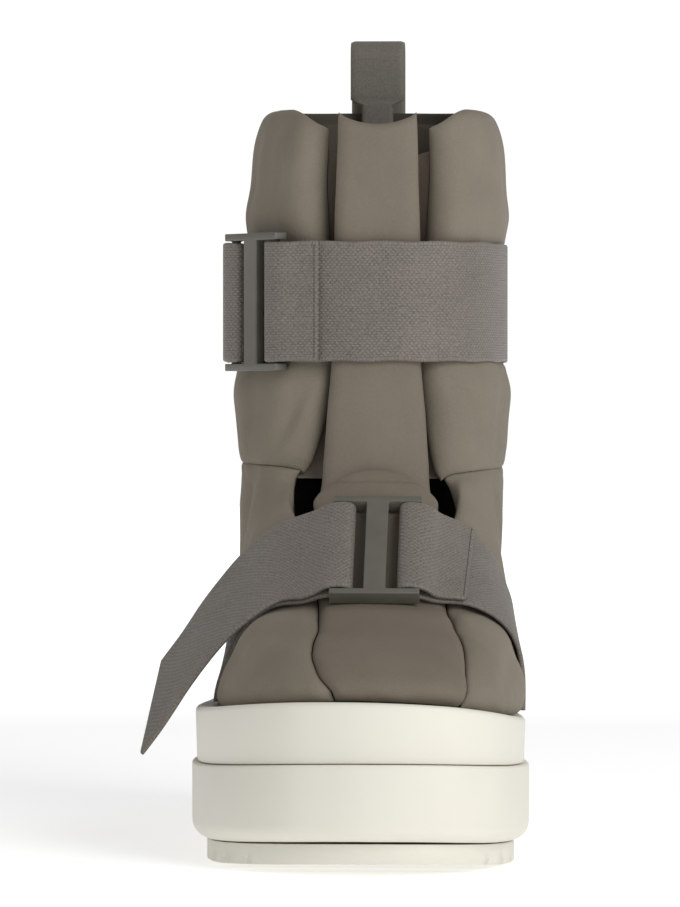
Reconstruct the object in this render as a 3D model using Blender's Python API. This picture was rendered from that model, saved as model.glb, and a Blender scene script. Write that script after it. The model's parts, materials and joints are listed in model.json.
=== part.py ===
"""Tall padded boot for the right foot, on a two tier platform sole.

The toe points along -Y, the outer side of the foot is -X and the floor is Z = 0.
The sole's tiers and the upper are lofted from closed rings. Every ring has the same
number of columns, column 0 at the toe, so that what lies on a surface can be built
from that surface. The straps are folded ribbons laid over the upper.
"""
import math

import bmesh
import bpy
import numpy as np
from mathutils import Vector
from mathutils.bvhtree import BVHTree

for old in list(bpy.data.objects):
    bpy.data.objects.remove(old, do_unlink=True)

# Sole sizes in metres
SOLE_LENGTH = 0.320
BALL_OUTER = 0.0682
BALL_INNER = 0.0679
TOE_SPRING = 0.0057
OUTSOLE_THICKNESS = 0.0085
OUTSOLE_INSET = 0.0058
PLATFORM_HEIGHT = 0.0302
PLATFORM_ROUND = 0.0070
MIDSOLE_HEIGHT = 0.0198
MIDSOLE_TOE_RISE = 0.0040
MIDSOLE_HEEL_RISE = 0.0110
MIDSOLE_INSET = 0.0014
MIDSOLE_SIDE_TILT = 0.0036
INSOLE_THICKNESS = 0.0040
GROOVE_WIDTH = 0.0034
GROOVE_DEPTH = 0.0026
GROOVE_DRAFT = 0.0004
FOREFOOT_GROOVES = 7
HEEL_GROOVES = 5
WAIST_RECESS = 0.0022

# Upper sizes
SHAFT_DEPTH = 0.142
SHAFT_OUTER = 0.0570
SHAFT_INNER = 0.0548
COLLAR_HEIGHT = 0.309
INSTEP_HEIGHT = 0.156
VAMP_OUTER = 0.0600
VAMP_INNER = 0.0625
VAMP_LENGTH = 0.308
PADDING = 0.0100
VAMP_WALL = 0.0050
THROAT_HALF = 0.0300
TONGUE_THICKNESS = 0.0080
TONGUE_RECESS = 0.0012
SEAM_DEPTH = 0.0026
ROLL_EDGE = 0.0044
THROAT_SHIFT = 0.0042
VAMP_TOP_RISE = 0.0190

# Straps and buckles
WEBBING_WIDTH = 0.050
WEBBING_THICKNESS = 0.0020
BUCKLE_LENGTH = 0.0362
BUCKLE_HEIGHT = 0.0577
BUCKLE_BAR = 0.0089
BUCKLE_SIDE_BAR = 0.0036
BUCKLE_SLOT = 0.0074
BUCKLE_PLATE = 0.0026
FLANGE_RISE = 0.0018
BEND_RADIUS = 0.0028
ANKLE_STRAP_HEIGHT = 0.2250
ANKLE_BUCKLE_TURN = 51.0
ANKLE_BUCKLE_X = -0.0440
ANKLE_LAP = 0.0330
ANKLE_TAIL = 0.1150
INSTEP_BUCKLE_X = 0.0045
INSTEP_AXIS_Y = -0.0280
INSTEP_AXIS_Z = 0.0860
SIDE_AXIS_Y = -0.0370
INSTEP_SLOPE = 37.0
SIDE_SLOPE = 9.0
INSTEP_LAP = 0.0390
TAIL_START = 0.0420
TAIL_LENGTH = 0.0700
TAIL_SLANT = 0.0140
STRAP_FOOT = 0.0012
STRAP_EASE = 0.0005
LAP_GAP = 0.0007
LOOP_WIDTH = 0.0237
LOOP_TAB_WIDTH = 0.0139
LOOP_THICKNESS = 0.0020
LOOP_RISE = 0.0290
LOOP_DROP = 0.0160

# Clearances
GAP = 0.0003
SIDE_GAP = 0.0008
TUCKED_GAP = 0.0032

HALF = 28
PANEL = 4
COLUMNS = 2 * HALF

# Plan of the sole: share of the length from the toe, share of the ball's half width,
# outer side negative
SOLE_PLAN = [
    # along, across
    (0.000, 0.235),
    (0.025, 0.588),
    (0.088, 0.824),
    (0.181, 0.956),
    (0.275, 1.000),
    (0.390, 0.945),
    (0.516, 0.840),
    (0.641, 0.745),
    (0.766, 0.695),
    (0.866, 0.645),
    (0.947, 0.500),
    (0.989, 0.265),
    (1.000, 0.000),
    (0.989, -0.265),
    (0.950, -0.500),
    (0.866, -0.654),
    (0.766, -0.720),
    (0.641, -0.812),
    (0.516, -0.915),
    (0.406, -0.985),
    (0.306, -1.000),
    (0.194, -0.912),
    (0.100, -0.706),
    (0.034, -0.412),
    (0.005, -0.088),
]
TOE_ROW = 0
HEEL_ROW = 12

# Rings of the upper, from the sole to the collar. Front and back places are shares of
# the vamp's length or of the shaft's depth from the ankle's front, heights are shares
# of the instep height or the collar height, widths are shares of the vamp's or the
# shaft's half widths.
VAMP_RINGS = [
    # front, front height, back, back height, outer, inner, panel, oval, slim
    (1.000, 0.000, 1.000, 0.000, 1.000, 0.995, 0.95, 0.00, 0.05),
    (1.006, 0.066, 1.010, 0.110, 1.020, 1.015, 1.00, 0.00, 0.09),
    (0.974, 0.136, 1.018, 0.240, 1.025, 1.014, 1.00, 0.06, 0.13),
    (0.893, 0.226, 1.016, 0.370, 1.010, 0.990, 1.00, 0.14, 0.16),
    (0.775, 0.296, 1.008, 0.490, 0.985, 0.960, 1.00, 0.24, 0.17),
    (0.640, 0.353, 0.996, 0.600, 0.965, 0.930, 1.00, 0.38, 0.16),
    (0.505, 0.424, 0.984, 0.700, 0.948, 0.900, 1.00, 0.54, 0.11),
    (0.362, 0.600, 0.972, 0.800, 0.938, 0.880, 1.00, 0.72, 0.06),
    (0.252, 0.760, 0.962, 0.895, 0.934, 0.870, 1.00, 0.88, 0.02),
    (0.150, 0.925, 0.952, 0.975, 0.934, 0.872, 0.97, 1.00, 0.00),
]
SHAFT_RINGS = [
    # front, back, share of the way from the instep to the collar, outer, inner, panel, oval, wall
    (-0.098, 1.012, 0.020, 1.012, 1.008, 0.86, 1.00, 0.90),
    (-0.042, 1.003, 0.150, 1.022, 1.018, 0.75, 1.00, 1.00),
    (-0.014, 1.000, 0.290, 0.996, 0.978, 0.69, 1.00, 1.00),
    (0.000, 1.000, 0.450, 0.948, 0.965, 0.68, 1.00, 1.00),
    (0.000, 1.000, 0.615, 0.922, 0.980, 0.67, 1.00, 1.00),
    (0.000, 1.006, 0.760, 0.916, 0.994, 0.64, 1.00, 1.00),
    (0.005, 1.012, 0.875, 0.884, 0.980, 0.625, 1.00, 0.94),
    (0.020, 1.016, 0.950, 0.830, 0.925, 0.615, 1.00, 0.76),
    (0.052, 1.000, 0.990, 0.752, 0.832, 0.61, 1.00, 0.40),
]
BACK_RIM_RISE = 0.0040
SLIM_PLACE = 0.28
SLIM_REACH = 0.22

# Drop of the free end below the horizontal, in degrees, along its share of the length
TAIL_DROP = [
    # share, front edge, back edge
    (0.00, 27.0, 38.0),
    (0.30, 46.0, 49.0),
    (0.65, 58.0, 57.0),
    (1.00, 52.0, 52.0),
]


def catmull(points, closed, per_span):
    """Smooth polyline through points."""
    rows = [np.array(p, dtype=float) for p in points]
    count = len(rows)
    spans = count if closed else count - 1
    result = []
    for i in range(spans):
        if closed:
            a, b, c, d = (rows[(i + k - 1) % count] for k in range(4))
        else:
            a = rows[max(i - 1, 0)]
            b = rows[i]
            c = rows[i + 1]
            d = rows[min(i + 2, count - 1)]
        for step in range(per_span):
            t = step / per_span
            result.append(
                0.5 * (2 * b + (c - a) * t + (2 * a - 5 * b + 4 * c - d) * t * t
                       + (3 * b - a - 3 * c + d) * t ** 3)
            )
    if not closed:
        result.append(rows[-1])
    return np.array(result)


def resample(line, count):
    """Points at equal arc shares of an open polyline."""
    steps = np.linalg.norm(np.diff(line, axis=0), axis=1)
    travelled = np.concatenate([[0.0], np.cumsum(steps)])
    wanted = np.linspace(0.0, travelled[-1], count)
    return np.stack([np.interp(wanted, travelled, line[:, i]) for i in range(line.shape[1])], axis=1)


def half_lines():
    """Outer and inner half of the sole's plan, toe to heel, as finely spaced shares."""
    per_span = 12
    line = catmull(SOLE_PLAN, True, per_span)
    toe = TOE_ROW * per_span
    heel = HEEL_ROW * per_span
    inner = line[toe:heel + 1]
    outer = np.concatenate([line[heel:], line[:1]])[::-1]
    return outer, inner


FINE = 241
SOLE_OUTER_LINE, SOLE_INNER_LINE = (resample(part, FINE) for part in half_lines())


def oval_line(sign):
    """Half of a rounded oval, front to back, as shares along and across."""
    power = 2.0 / 2.35
    points = []
    for i in range(721):
        angle = math.pi * i / 720
        cos_a = math.cos(angle)
        sin_a = math.sin(angle)
        along = 0.5 - 0.5 * math.copysign(abs(cos_a) ** power, cos_a)
        across = sign * abs(sin_a) ** power
        points.append((along, across))
    return resample(np.array(points), FINE)


OVAL_OUTER_LINE = oval_line(-1.0)
OVAL_INNER_LINE = oval_line(1.0)


def ring_half(side, front_y, back_y, half_width, oval, slim=0.0):
    """Half a ring in plan: X and Y along it, front to back, drawn in at the ball by slim."""
    sole = SOLE_OUTER_LINE if side < 0 else SOLE_INNER_LINE
    egg = OVAL_OUTER_LINE if side < 0 else OVAL_INNER_LINE
    share = (1.0 - oval) * sole + oval * egg
    x = share[:, 1] * half_width
    x = x * (1.0 - slim * np.exp(-((share[:, 0] - SLIM_PLACE) / SLIM_REACH) ** 2))
    x = x + oval * THROAT_SHIFT * (1.0 - share[:, 0]) ** 2
    y = front_y + (back_y - front_y) * share[:, 0]
    return np.stack([x, y], axis=1)


def spread(line, panel_half, centre):
    """Columns of half a ring: PANEL of them inside the panel, the rest behind it."""
    steps = np.linalg.norm(np.diff(line, axis=0), axis=1)
    travelled = np.concatenate([[0.0], np.cumsum(steps)])
    away = np.abs(line[:, 0] - centre)
    edge = 1
    while edge < len(line) - 2 and away[edge] < panel_half:
        edge += 1
    reach = travelled[edge]
    wanted = [reach * i / PANEL for i in range(PANEL)]
    rest = travelled[-1] - reach
    wanted += [reach + rest * i / (HALF - PANEL) for i in range(HALF - PANEL + 1)]
    return np.stack([np.interp(wanted, travelled, line[:, i]) for i in range(2)], axis=1)


def close_ring(outer, inner):
    """One closed ring from two halves: column 0 at the toe, then the inner side."""
    return np.concatenate([inner[:HALF], outer[1:HALF + 1][::-1]])


def toe_y():
    return -SOLE_LENGTH / 2


def sole_ring(inset):
    """The sole's outline, drawn in by an inset."""
    length = SOLE_LENGTH
    outer = ring_half(-1, toe_y(), toe_y() + length, BALL_OUTER, 0.0)
    inner = ring_half(1, toe_y(), toe_y() + length, BALL_INNER, 0.0)
    outer = resample(outer, HALF + 1)
    inner = resample(inner, HALF + 1)
    ring = close_ring(outer, inner)
    ahead = np.roll(ring, -1, axis=0)
    behind = np.roll(ring, 1, axis=0)
    tangent = ahead - behind
    tangent /= np.linalg.norm(tangent, axis=1)[:, None]
    inward = np.stack([-tangent[:, 1], tangent[:, 0]], axis=1)
    return ring + inward * inset


def along_share(y):
    return np.clip((np.asarray(y) - toe_y()) / SOLE_LENGTH, 0.0, 1.0)


def spring(y):
    """Lift of the sole towards the toe."""
    u = along_share(y)
    lift = np.clip((0.27 - u) / 0.27, 0.0, 1.0)
    return TOE_SPRING * lift ** 1.6


def platform_floor(y):
    return spring(y) * 0.9 + OUTSOLE_THICKNESS


def platform_top(y):
    return spring(y) * 0.9 + OUTSOLE_THICKNESS + GAP + PLATFORM_HEIGHT


def midsole_top(x, y):
    """Top line of the sole: raised at toe and heel, lower on the inner side."""
    u = along_share(y)
    toe = MIDSOLE_TOE_RISE * np.clip((0.30 - u) / 0.30, 0.0, 1.0) ** 1.3
    heel = MIDSOLE_HEEL_RISE * np.clip((u - 0.42) / 0.58, 0.0, 1.0) ** 1.2
    tilt = -MIDSOLE_SIDE_TILT * np.asarray(x) / (BALL_OUTER + BALL_INNER)
    return platform_top(y) + GAP + MIDSOLE_HEIGHT + toe + heel + tilt


def material(name, colour, roughness, metallic=0.0):
    made = bpy.data.materials.new(name)
    made.use_nodes = True
    shader = made.node_tree.nodes["Principled BSDF"]
    shader.inputs["Base Color"].default_value = (*colour, 1.0)
    shader.inputs["Roughness"].default_value = roughness
    shader.inputs["Metallic"].default_value = metallic
    return made


PADDED = material("padded_cloth", (0.150, 0.132, 0.112), 0.85)
TONGUE_CLOTH = material("tongue_cloth", (0.165, 0.146, 0.124), 0.85)
WEBBING = material("webbing", (0.180, 0.160, 0.145), 0.60)
PAINTED = material("painted_buckle", (0.105, 0.100, 0.080), 0.40)
TAPE = material("loop_tape", (0.135, 0.120, 0.100), 0.65)
RUBBER = material("pale_rubber", (0.780, 0.760, 0.690), 0.55)
BOARD = material("insole_board", (0.060, 0.052, 0.044), 0.90)


def add_object(name, verts, faces, made_of):
    mesh = bpy.data.meshes.new(name)
    mesh.from_pydata([tuple(v) for v in verts], [], [tuple(f) for f in faces])
    body = bmesh.new()
    body.from_mesh(mesh)
    bmesh.ops.recalc_face_normals(body, faces=body.faces)
    if body.calc_volume(signed=True) < 0:
        bmesh.ops.reverse_faces(body, faces=body.faces)
    body.to_mesh(mesh)
    body.free()
    mesh.materials.append(made_of)
    thing = bpy.data.objects.new(name, mesh)
    bpy.context.scene.collection.objects.link(thing)
    return thing


def ladder(start, count, flip):
    """Faces that close a ring across its two halves."""
    def index(j):
        return start + j % count

    faces = []
    for j in range(HALF):
        a = index(j)
        b = index(j + 1)
        c = index(-(j + 1))
        d = index(-j)
        quad = []
        for corner in (a, b, c, d):
            if corner not in quad:
                quad.append(corner)
        if flip:
            quad.reverse()
        faces.append(quad)
    return faces


def ring_solid(name, rings, made_of):
    """Solid through closed rings, closed by a ladder of faces below and above."""
    verts = [p for ring in rings for p in ring]
    count = len(rings[0])
    faces = []
    for k in range(len(rings) - 1):
        for j in range(count):
            a = k * count + j
            b = k * count + (j + 1) % count
            faces.append((a, b, b + count, a + count))
    faces += ladder(0, count, True)
    faces += ladder((len(rings) - 1) * count, count, False)
    return add_object(name, verts, faces, made_of)


def lift_ring(plan, height):
    return [(p[0], p[1], h) for p, h in zip(plan, height)]


# Platform, the lower tier
def make_platform():
    profile = [
        # inset share of the rounding, height share of the rounding, true when from the top
        (0.80, 0.00, False),
        (0.40, 0.16, False),
        (0.14, 0.50, False),
        (0.00, 1.00, False),
        (0.00, 0.16, True),
        (0.06, 0.00, True),
    ]
    rings = []
    for inset, height, from_top in profile:
        plan = sole_ring(inset * PLATFORM_ROUND)
        low = platform_floor(plan[:, 1]) + GAP
        high = platform_top(plan[:, 1])
        level = high - height * PLATFORM_ROUND if from_top else low + height * PLATFORM_ROUND
        rings.append(lift_ring(plan, level))
    return ring_solid("platform", rings, RUBBER)


# Midsole, the upper tier
def make_midsole():
    lip = 0.0022
    profile = [
        # inset, distance, true when from the top
        (MIDSOLE_INSET + 0.0004, 0.0, False),
        (MIDSOLE_INSET, 0.0010, False),
        (MIDSOLE_INSET, lip, True),
        (MIDSOLE_INSET + lip * 0.35, lip * 0.3, True),
        (MIDSOLE_INSET + lip, 0.0, True),
    ]
    rings = []
    for inset, distance, from_top in profile:
        plan = sole_ring(inset)
        low = platform_top(plan[:, 1]) + GAP
        high = midsole_top(plan[:, 0], plan[:, 1])
        rings.append(lift_ring(plan, high - distance if from_top else low + distance))
    return ring_solid("midsole", rings, RUBBER)


def edge_of(ring, y, side):
    """X of a closed ring at a place along the foot, on one side."""
    if side > 0:
        half = ring[:HALF + 1]
    else:
        half = np.concatenate([ring[HALF:], ring[:1]])[::-1]
    return float(np.interp(y, half[:, 1], half[:, 0]))


# Outsole, with its cross grooves
def make_outsole():
    plan = sole_ring(OUTSOLE_INSET)
    first = float(plan[:, 1].min())
    last = float(plan[:, 1].max())
    length = last - first
    stations = []
    for share in (0.0008, 0.004, 0.010, 0.020, 0.034, 0.052):
        stations.append((first + share * length, 0.0))
        stations.append((last - share * length, 0.0))
    stations.append((first + 0.075 * length, 0.0))

    def groove(centre, width, depth):
        half = width / 2
        stations.append((centre - half, 0.0))
        stations.append((centre - half + GROOVE_DRAFT, depth))
        stations.append((centre + half - GROOVE_DRAFT, depth))
        stations.append((centre + half, 0.0))

    for i in range(FOREFOOT_GROOVES):
        share = 0.095 + (0.440 - 0.095) * i / max(FOREFOOT_GROOVES - 1, 1)
        groove(first + share * length, GROOVE_WIDTH, GROOVE_DEPTH)
    for i in range(HEEL_GROOVES):
        share = 0.700 + (0.910 - 0.700) * i / max(HEEL_GROOVES - 1, 1)
        groove(first + share * length, GROOVE_WIDTH, GROOVE_DEPTH)
    groove(first + 0.600 * length, 0.130 * length, WAIST_RECESS)
    stations.sort()
    verts = []
    for y, depth in stations:
        left = edge_of(plan, y, -1)
        right = edge_of(plan, y, 1)
        low = float(spring(y)) + depth
        high = float(platform_floor(y))
        verts += [(left, y, low), (right, y, low), (right, y, high), (left, y, high)]
    faces = [(0, 1, 2, 3)]
    for i in range(len(stations) - 1):
        for k in range(4):
            a = i * 4 + k
            b = i * 4 + (k + 1) % 4
            faces.append((a, b, b + 4, a + 4))
    end = (len(stations) - 1) * 4
    faces.append((end + 3, end + 2, end + 1, end))
    return add_object("outsole", verts, faces, RUBBER)


# Upper
def upper_rings():
    """Full outer surface of the upper, ring by ring, with the wall of each ring."""
    rows = []
    for front, front_z, back, back_z, outer, inner, panel, oval, slim in VAMP_RINGS:
        front_y = -VAMP_LENGTH / 2 * front + 0.001
        back_y = VAMP_LENGTH / 2 * back
        rows.append((front_y, front_z, back_y, back_z, outer * VAMP_OUTER, inner * VAMP_INNER,
                     panel * THROAT_HALF, oval, slim, VAMP_WALL))
    surfaces = []
    for front_y, front_z, back_y, back_z, outer, inner, panel, oval, slim, wall in rows:
        line_out = ring_half(-1, front_y, back_y, outer, oval, slim)
        line_in = ring_half(1, front_y, back_y, inner, oval)
        centre = line_in[0, 0]
        plan = close_ring(spread(line_out, panel, centre), spread(line_in, panel, centre))
        base = midsole_top(plan[:, 0], plan[:, 1]) + GAP
        share = (plan[:, 1] - front_y) / (back_y - front_y)
        rise = front_z + (back_z - front_z) * share
        level = base + rise * (INSTEP_HEIGHT - base)
        surfaces.append((np.column_stack([plan, level]), wall))
    for front, back, height, outer, inner, panel, oval, wall in SHAFT_RINGS:
        front_y = front * SHAFT_DEPTH
        back_y = back * SHAFT_DEPTH
        line_out = ring_half(-1, front_y, back_y, outer * SHAFT_OUTER, oval)
        line_in = ring_half(1, front_y, back_y, inner * SHAFT_INNER, oval)
        centre = line_in[0, 0]
        plan = close_ring(
            spread(line_out, panel * THROAT_HALF, centre),
            spread(line_in, panel * THROAT_HALF, centre),
        )
        share = (plan[:, 1] - front_y) / (back_y - front_y)
        level = INSTEP_HEIGHT + height * (COLLAR_HEIGHT - INSTEP_HEIGHT) + BACK_RIM_RISE * share * height
        surfaces.append((np.column_stack([plan, level]), wall * PADDING))
    return surfaces


def shape_vamp_top(surface):
    """Raise the vamp's middle over the tongue as a rounded tab."""
    shaped = surface.copy()
    for j in range(-PANEL, PANEL + 1):
        share = abs(j) / PANEL
        lift = math.sqrt(max(0.0, 1.0 - share * share)) - 0.55
        shaped[j, 2] += VAMP_TOP_RISE * lift
        shaped[j, 1] += VAMP_TOP_RISE * lift * 0.42
    return shaped


def surface_normals(rings):
    """Outward normals of a stack of rings."""
    grid = np.array(rings)
    around = np.roll(grid, -1, axis=1) - np.roll(grid, 1, axis=1)
    up = np.gradient(grid, axis=0)
    normal = np.cross(around, up)
    normal /= np.linalg.norm(normal, axis=2)[:, :, None]
    flat = normal[0].copy()
    flat[:, 2] = 0.0
    flat /= np.linalg.norm(flat, axis=1)[:, None]
    normal[0] = flat
    return normal


SURFACES = upper_rings()
WALLS = [wall for _, wall in SURFACES]
RINGS = [ring for ring, _ in SURFACES]
THROAT_RING = len(VAMP_RINGS) - 1
SMOOTH_NORMALS = surface_normals(RINGS)
RINGS[THROAT_RING] = shape_vamp_top(RINGS[THROAT_RING])
NORMALS = SMOOTH_NORMALS


def dips():
    """How far seams and rolled edges sink below the full surface."""
    sink = np.zeros((len(RINGS), COLUMNS))
    top = len(RINGS) - 1
    for k in range(len(RINGS)):
        for side in (-1, 1):
            edge = side * PANEL
            if k < THROAT_RING:
                if k > 0:
                    sink[k, edge] = SEAM_DEPTH
            elif k > THROAT_RING:
                sink[k, edge] = ROLL_EDGE
                sink[k, edge + side] = ROLL_EDGE * 0.22
            if k >= top - 2:
                sink[k, side * (PANEL + 3)] += SEAM_DEPTH * 0.6
        if k > 1:
            sink[k, HALF] = SEAM_DEPTH * 0.7
    return sink


def make_upper():
    grid = np.array(RINGS)
    normal = NORMALS
    sink = dips()
    outer = grid - normal * sink[:, :, None]
    walls = np.array(WALLS)
    inner = grid - normal * walls[:, None, None]
    inner[0, :, 2] = grid[0, :, 2]
    count = len(RINGS)

    def open_cell(k, j):
        """Cells left out for the throat; j is the cell's first column."""
        column = j if j < HALF else j - COLUMNS
        return k >= THROAT_RING and -PANEL <= column < PANEL

    verts = [tuple(p) for ring in outer for p in ring]
    verts += [tuple(p) for ring in inner for p in ring]
    shift = count * COLUMNS
    faces = []
    edges = {}

    def note(a, b):
        if (b, a) in edges:
            del edges[(b, a)]
        else:
            edges[(a, b)] = True

    for k in range(count - 1):
        for j in range(COLUMNS):
            if open_cell(k, j):
                continue
            a = k * COLUMNS + j
            b = k * COLUMNS + (j + 1) % COLUMNS
            c = b + COLUMNS
            d = a + COLUMNS
            faces.append((a, b, c, d))
            faces.append((a + shift, d + shift, c + shift, b + shift))
            for pair in ((a, b), (b, c), (c, d), (d, a)):
                note(*pair)
    for a, b in edges:
        faces.append((b, a, a + shift, b + shift))
    used = sorted({v for face in faces for v in face})
    place = {v: i for i, v in enumerate(used)}
    verts = [verts[v] for v in used]
    faces = [tuple(place[v] for v in face) for face in faces]
    return add_object("upper", verts, faces, PADDED)


# Tongue
def make_tongue():
    rows = []
    top = len(RINGS) - 1
    levels = [
        # ring, share of the way to the next ring, recess
        (THROAT_RING - 2, 0.5, None),
        (THROAT_RING - 1, 0.0, None),
        (THROAT_RING - 1, 0.5, None),
        (THROAT_RING + 1, 0.0, None),
        (THROAT_RING + 1, 0.5, TONGUE_RECESS * 2.2),
        (THROAT_RING + 2, 0.0, TONGUE_RECESS),
    ]
    for k in range(THROAT_RING + 3, top - 1):
        levels.append((k, 0.0, TONGUE_RECESS))
    levels.append((top - 1, 0.0, TONGUE_RECESS))
    plain = np.array([ring for ring, _ in SURFACES])
    behind_vamp = VAMP_WALL + SIDE_GAP
    for k, share, recess in levels:
        upper_k = min(k + 1, top)
        ring = plain[k] * (1 - share) + plain[upper_k] * share
        normal = NORMALS[k] * (1 - share) + NORMALS[upper_k] * share
        depth = behind_vamp if recess is None else recess
        row = []
        for side in (-1, 1):
            span = np.linalg.norm(ring[side * PANEL] - ring[0])
            row.append(1.0 - (TUCKED_GAP if recess is None else SIDE_GAP) / span)
        points = []
        for j in range(-PANEL, PANEL + 1):
            scale = row[0] if j < 0 else row[1]
            place = j * scale
            low = math.floor(place)
            part = place - low
            point = ring[low] * (1 - part) + ring[low + 1] * part
            out = normal[low] * (1 - part) + normal[low + 1] * part
            out = out / np.linalg.norm(out)
            edge = 0.25 * TONGUE_THICKNESS if abs(j) == PANEL else 0.0
            front = point - out * (depth + edge)
            back = point - out * (depth + TONGUE_THICKNESS - edge * 0.5)
            points.append((front, back))
        rows.append(points)
    last = rows[-1]
    shaped = []
    for i, (front, back) in enumerate(last):
        share = abs(i - PANEL) / PANEL
        lift = Vector((0.0, 0.0, 0.0055 * share * share - 0.0010))
        shaped.append((np.array(Vector(front) + lift), np.array(Vector(back) + lift)))
    rows[-1] = shaped
    wide = 2 * PANEL + 1
    verts = []
    for points in rows:
        verts += [tuple(front) for front, _ in points]
        verts += [tuple(back) for _, back in reversed(points)]
    ring_count = 2 * wide
    faces = []
    for i in range(len(rows) - 1):
        for k in range(ring_count):
            a = i * ring_count + k
            b = i * ring_count + (k + 1) % ring_count
            faces.append((a, b, b + ring_count, a + ring_count))
    for start in (0, (len(rows) - 1) * ring_count):
        for k in range(wide - 1):
            a = start + k
            d = start + ring_count - 1 - k
            faces.append((a, a + 1, d - 1, d))
    return add_object("tongue", verts, faces, TONGUE_CLOTH)


# Insole
def make_insole():
    base = np.array(RINGS[0])[:, :2]
    flat = NORMALS[0][:, :2]
    plan = base - flat * (VAMP_WALL + SIDE_GAP)
    rings = []
    for inset, height in ((0.0, GAP), (0.0, INSOLE_THICKNESS * 0.7), (0.0012, INSOLE_THICKNESS)):
        drawn = plan - flat * inset
        rings.append(lift_ring(drawn, midsole_top(drawn[:, 0], drawn[:, 1]) + height))
    return ring_solid("insole", rings, BOARD)


OUTSOLE = make_outsole()
PLATFORM = make_platform()
MIDSOLE = make_midsole()
INSOLE = make_insole()
UPPER = make_upper()
TONGUE = make_tongue()


# What the straps lie on
def solid_tree(things):
    verts = []
    faces = []
    for thing in things:
        shift = len(verts)
        verts += [v.co.copy() for v in thing.data.vertices]
        faces += [[shift + i for i in face.vertices] for face in thing.data.polygons]
    return BVHTree.FromPolygons(verts, faces)


BODY_TREE = solid_tree([UPPER, TONGUE])
REACH = 0.30


def outer_radius(origin, direction):
    """Distance from an inner point to the outermost surface in a direction."""
    origin = Vector(origin)
    direction = Vector(direction)
    hit = BODY_TREE.ray_cast(origin + direction * REACH, -direction, REACH)[0]
    return (hit - origin).length if hit is not None else 0.0


def convex_hull(points):
    """Hull of points in a plane, anticlockwise."""
    points = sorted(map(tuple, points))

    def half(order):
        chain = []
        for p in order:
            while len(chain) > 1:
                (ax, ay), (bx, by) = chain[-2], chain[-1]
                if (bx - ax) * (p[1] - ay) - (by - ay) * (p[0] - ax) > 0:
                    break
                chain.pop()
            chain.append(p)
        return chain[:-1]

    return np.array(half(points) + half(points[::-1]))


def unit(vector):
    vector = np.array(vector, dtype=float)
    return vector / np.linalg.norm(vector)


# Ankle strap's path in plan
def ankle_base():
    """Closed taut path round the shaft, starting at the buckle's centre."""
    half = WEBBING_WIDTH / 2
    centre_y = SHAFT_DEPTH / 2
    points = []
    for step in range(120):
        angle = math.radians(step * 3)
        direction = (math.cos(angle), math.sin(angle), 0.0)
        radius = max(
            outer_radius((0.0, centre_y, ANKLE_STRAP_HEIGHT + half * row), direction)
            for row in (-1.0, -0.5, 0.0, 0.5, 1.0)
        )
        radius += GAP + STRAP_EASE
        points.append((radius * direction[0], centre_y + radius * direction[1]))
    turn = math.radians(ANKLE_BUCKLE_TURN)
    out = np.array([-math.sin(turn), -math.cos(turn)])
    along = np.array([-out[1], out[0]])
    distance = max(float(np.dot(p, out)) for p in points) + GAP
    slide = (ANKLE_BUCKLE_X - distance * out[0]) / along[0]
    centre = out * distance + along * slide
    reach = BUCKLE_LENGTH / 2 + 0.002
    hull = convex_hull(points + [tuple(centre - along * reach), tuple(centre + along * reach)])
    start = min(
        range(len(hull)),
        key=lambda i: float(np.linalg.norm(hull[i] - (centre + along * reach))),
    )
    line = np.concatenate([[centre], np.roll(hull, -start, axis=0), [centre]])
    steps = np.linalg.norm(np.diff(line, axis=0), axis=1)
    return line, np.concatenate([[0.0], np.cumsum(steps)])


ANKLE_LINE, ANKLE_TRAVEL = ankle_base()
ANKLE_GIRTH = float(ANKLE_TRAVEL[-1])


def ankle_point(s):
    s = s % ANKLE_GIRTH
    return np.array([np.interp(s, ANKLE_TRAVEL, ANKLE_LINE[:, i]) for i in range(2)])


def ankle_frame(s, _height):
    """Lower edge, upper edge and outward direction at a place along the ankle strap."""
    ease = 0.0025
    tangent = unit(ankle_point(s + ease) - ankle_point(s - ease))
    point = (ankle_point(s + ease) + ankle_point(s - ease)) / 2
    half = WEBBING_WIDTH / 2
    low = np.array([point[0], point[1], ANKLE_STRAP_HEIGHT - half])
    high = np.array([point[0], point[1], ANKLE_STRAP_HEIGHT + half])
    return low, high, np.array([tangent[1], -tangent[0], 0.0])


# Instep strap's path
LAST_CUT = 106.0


def smooth_step(value):
    value = min(max(value, 0.0), 1.0)
    return value * value * (3.0 - 2.0 * value)


def instep_station(angle):
    """Origin, width direction and outward direction of one cut through the instep."""
    share = smooth_step((abs(angle) - 25.0) / 55.0)
    slope = math.radians(INSTEP_SLOPE + (SIDE_SLOPE - INSTEP_SLOPE) * share)
    width = np.array([0.0, math.cos(slope), math.sin(slope)])
    up = np.array([0.0, -math.sin(slope), math.cos(slope)])
    turn = math.radians(angle)
    out = up * math.cos(turn) + np.array([math.sin(turn), 0.0, 0.0])
    origin = np.array([
        INSTEP_BUCKLE_X,
        INSTEP_AXIS_Y + (SIDE_AXIS_Y - INSTEP_AXIS_Y) * share,
        INSTEP_AXIS_Z,
    ])
    return origin, width, out


def hold_below(radii, angles):
    """Straight sides below the last angle whose cut still meets the upper's side."""
    held = radii.copy()
    for sign in (-1, 1):
        last = np.flatnonzero(np.sign(angles) * np.abs(angles) == sign * LAST_CUT)[0]
        keep = abs(math.sin(math.radians(angles[last])))
        for i, angle in enumerate(angles):
            if sign * angle > LAST_CUT:
                held[i] = radii[last] * keep / abs(math.sin(math.radians(angle)))
    return held


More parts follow.
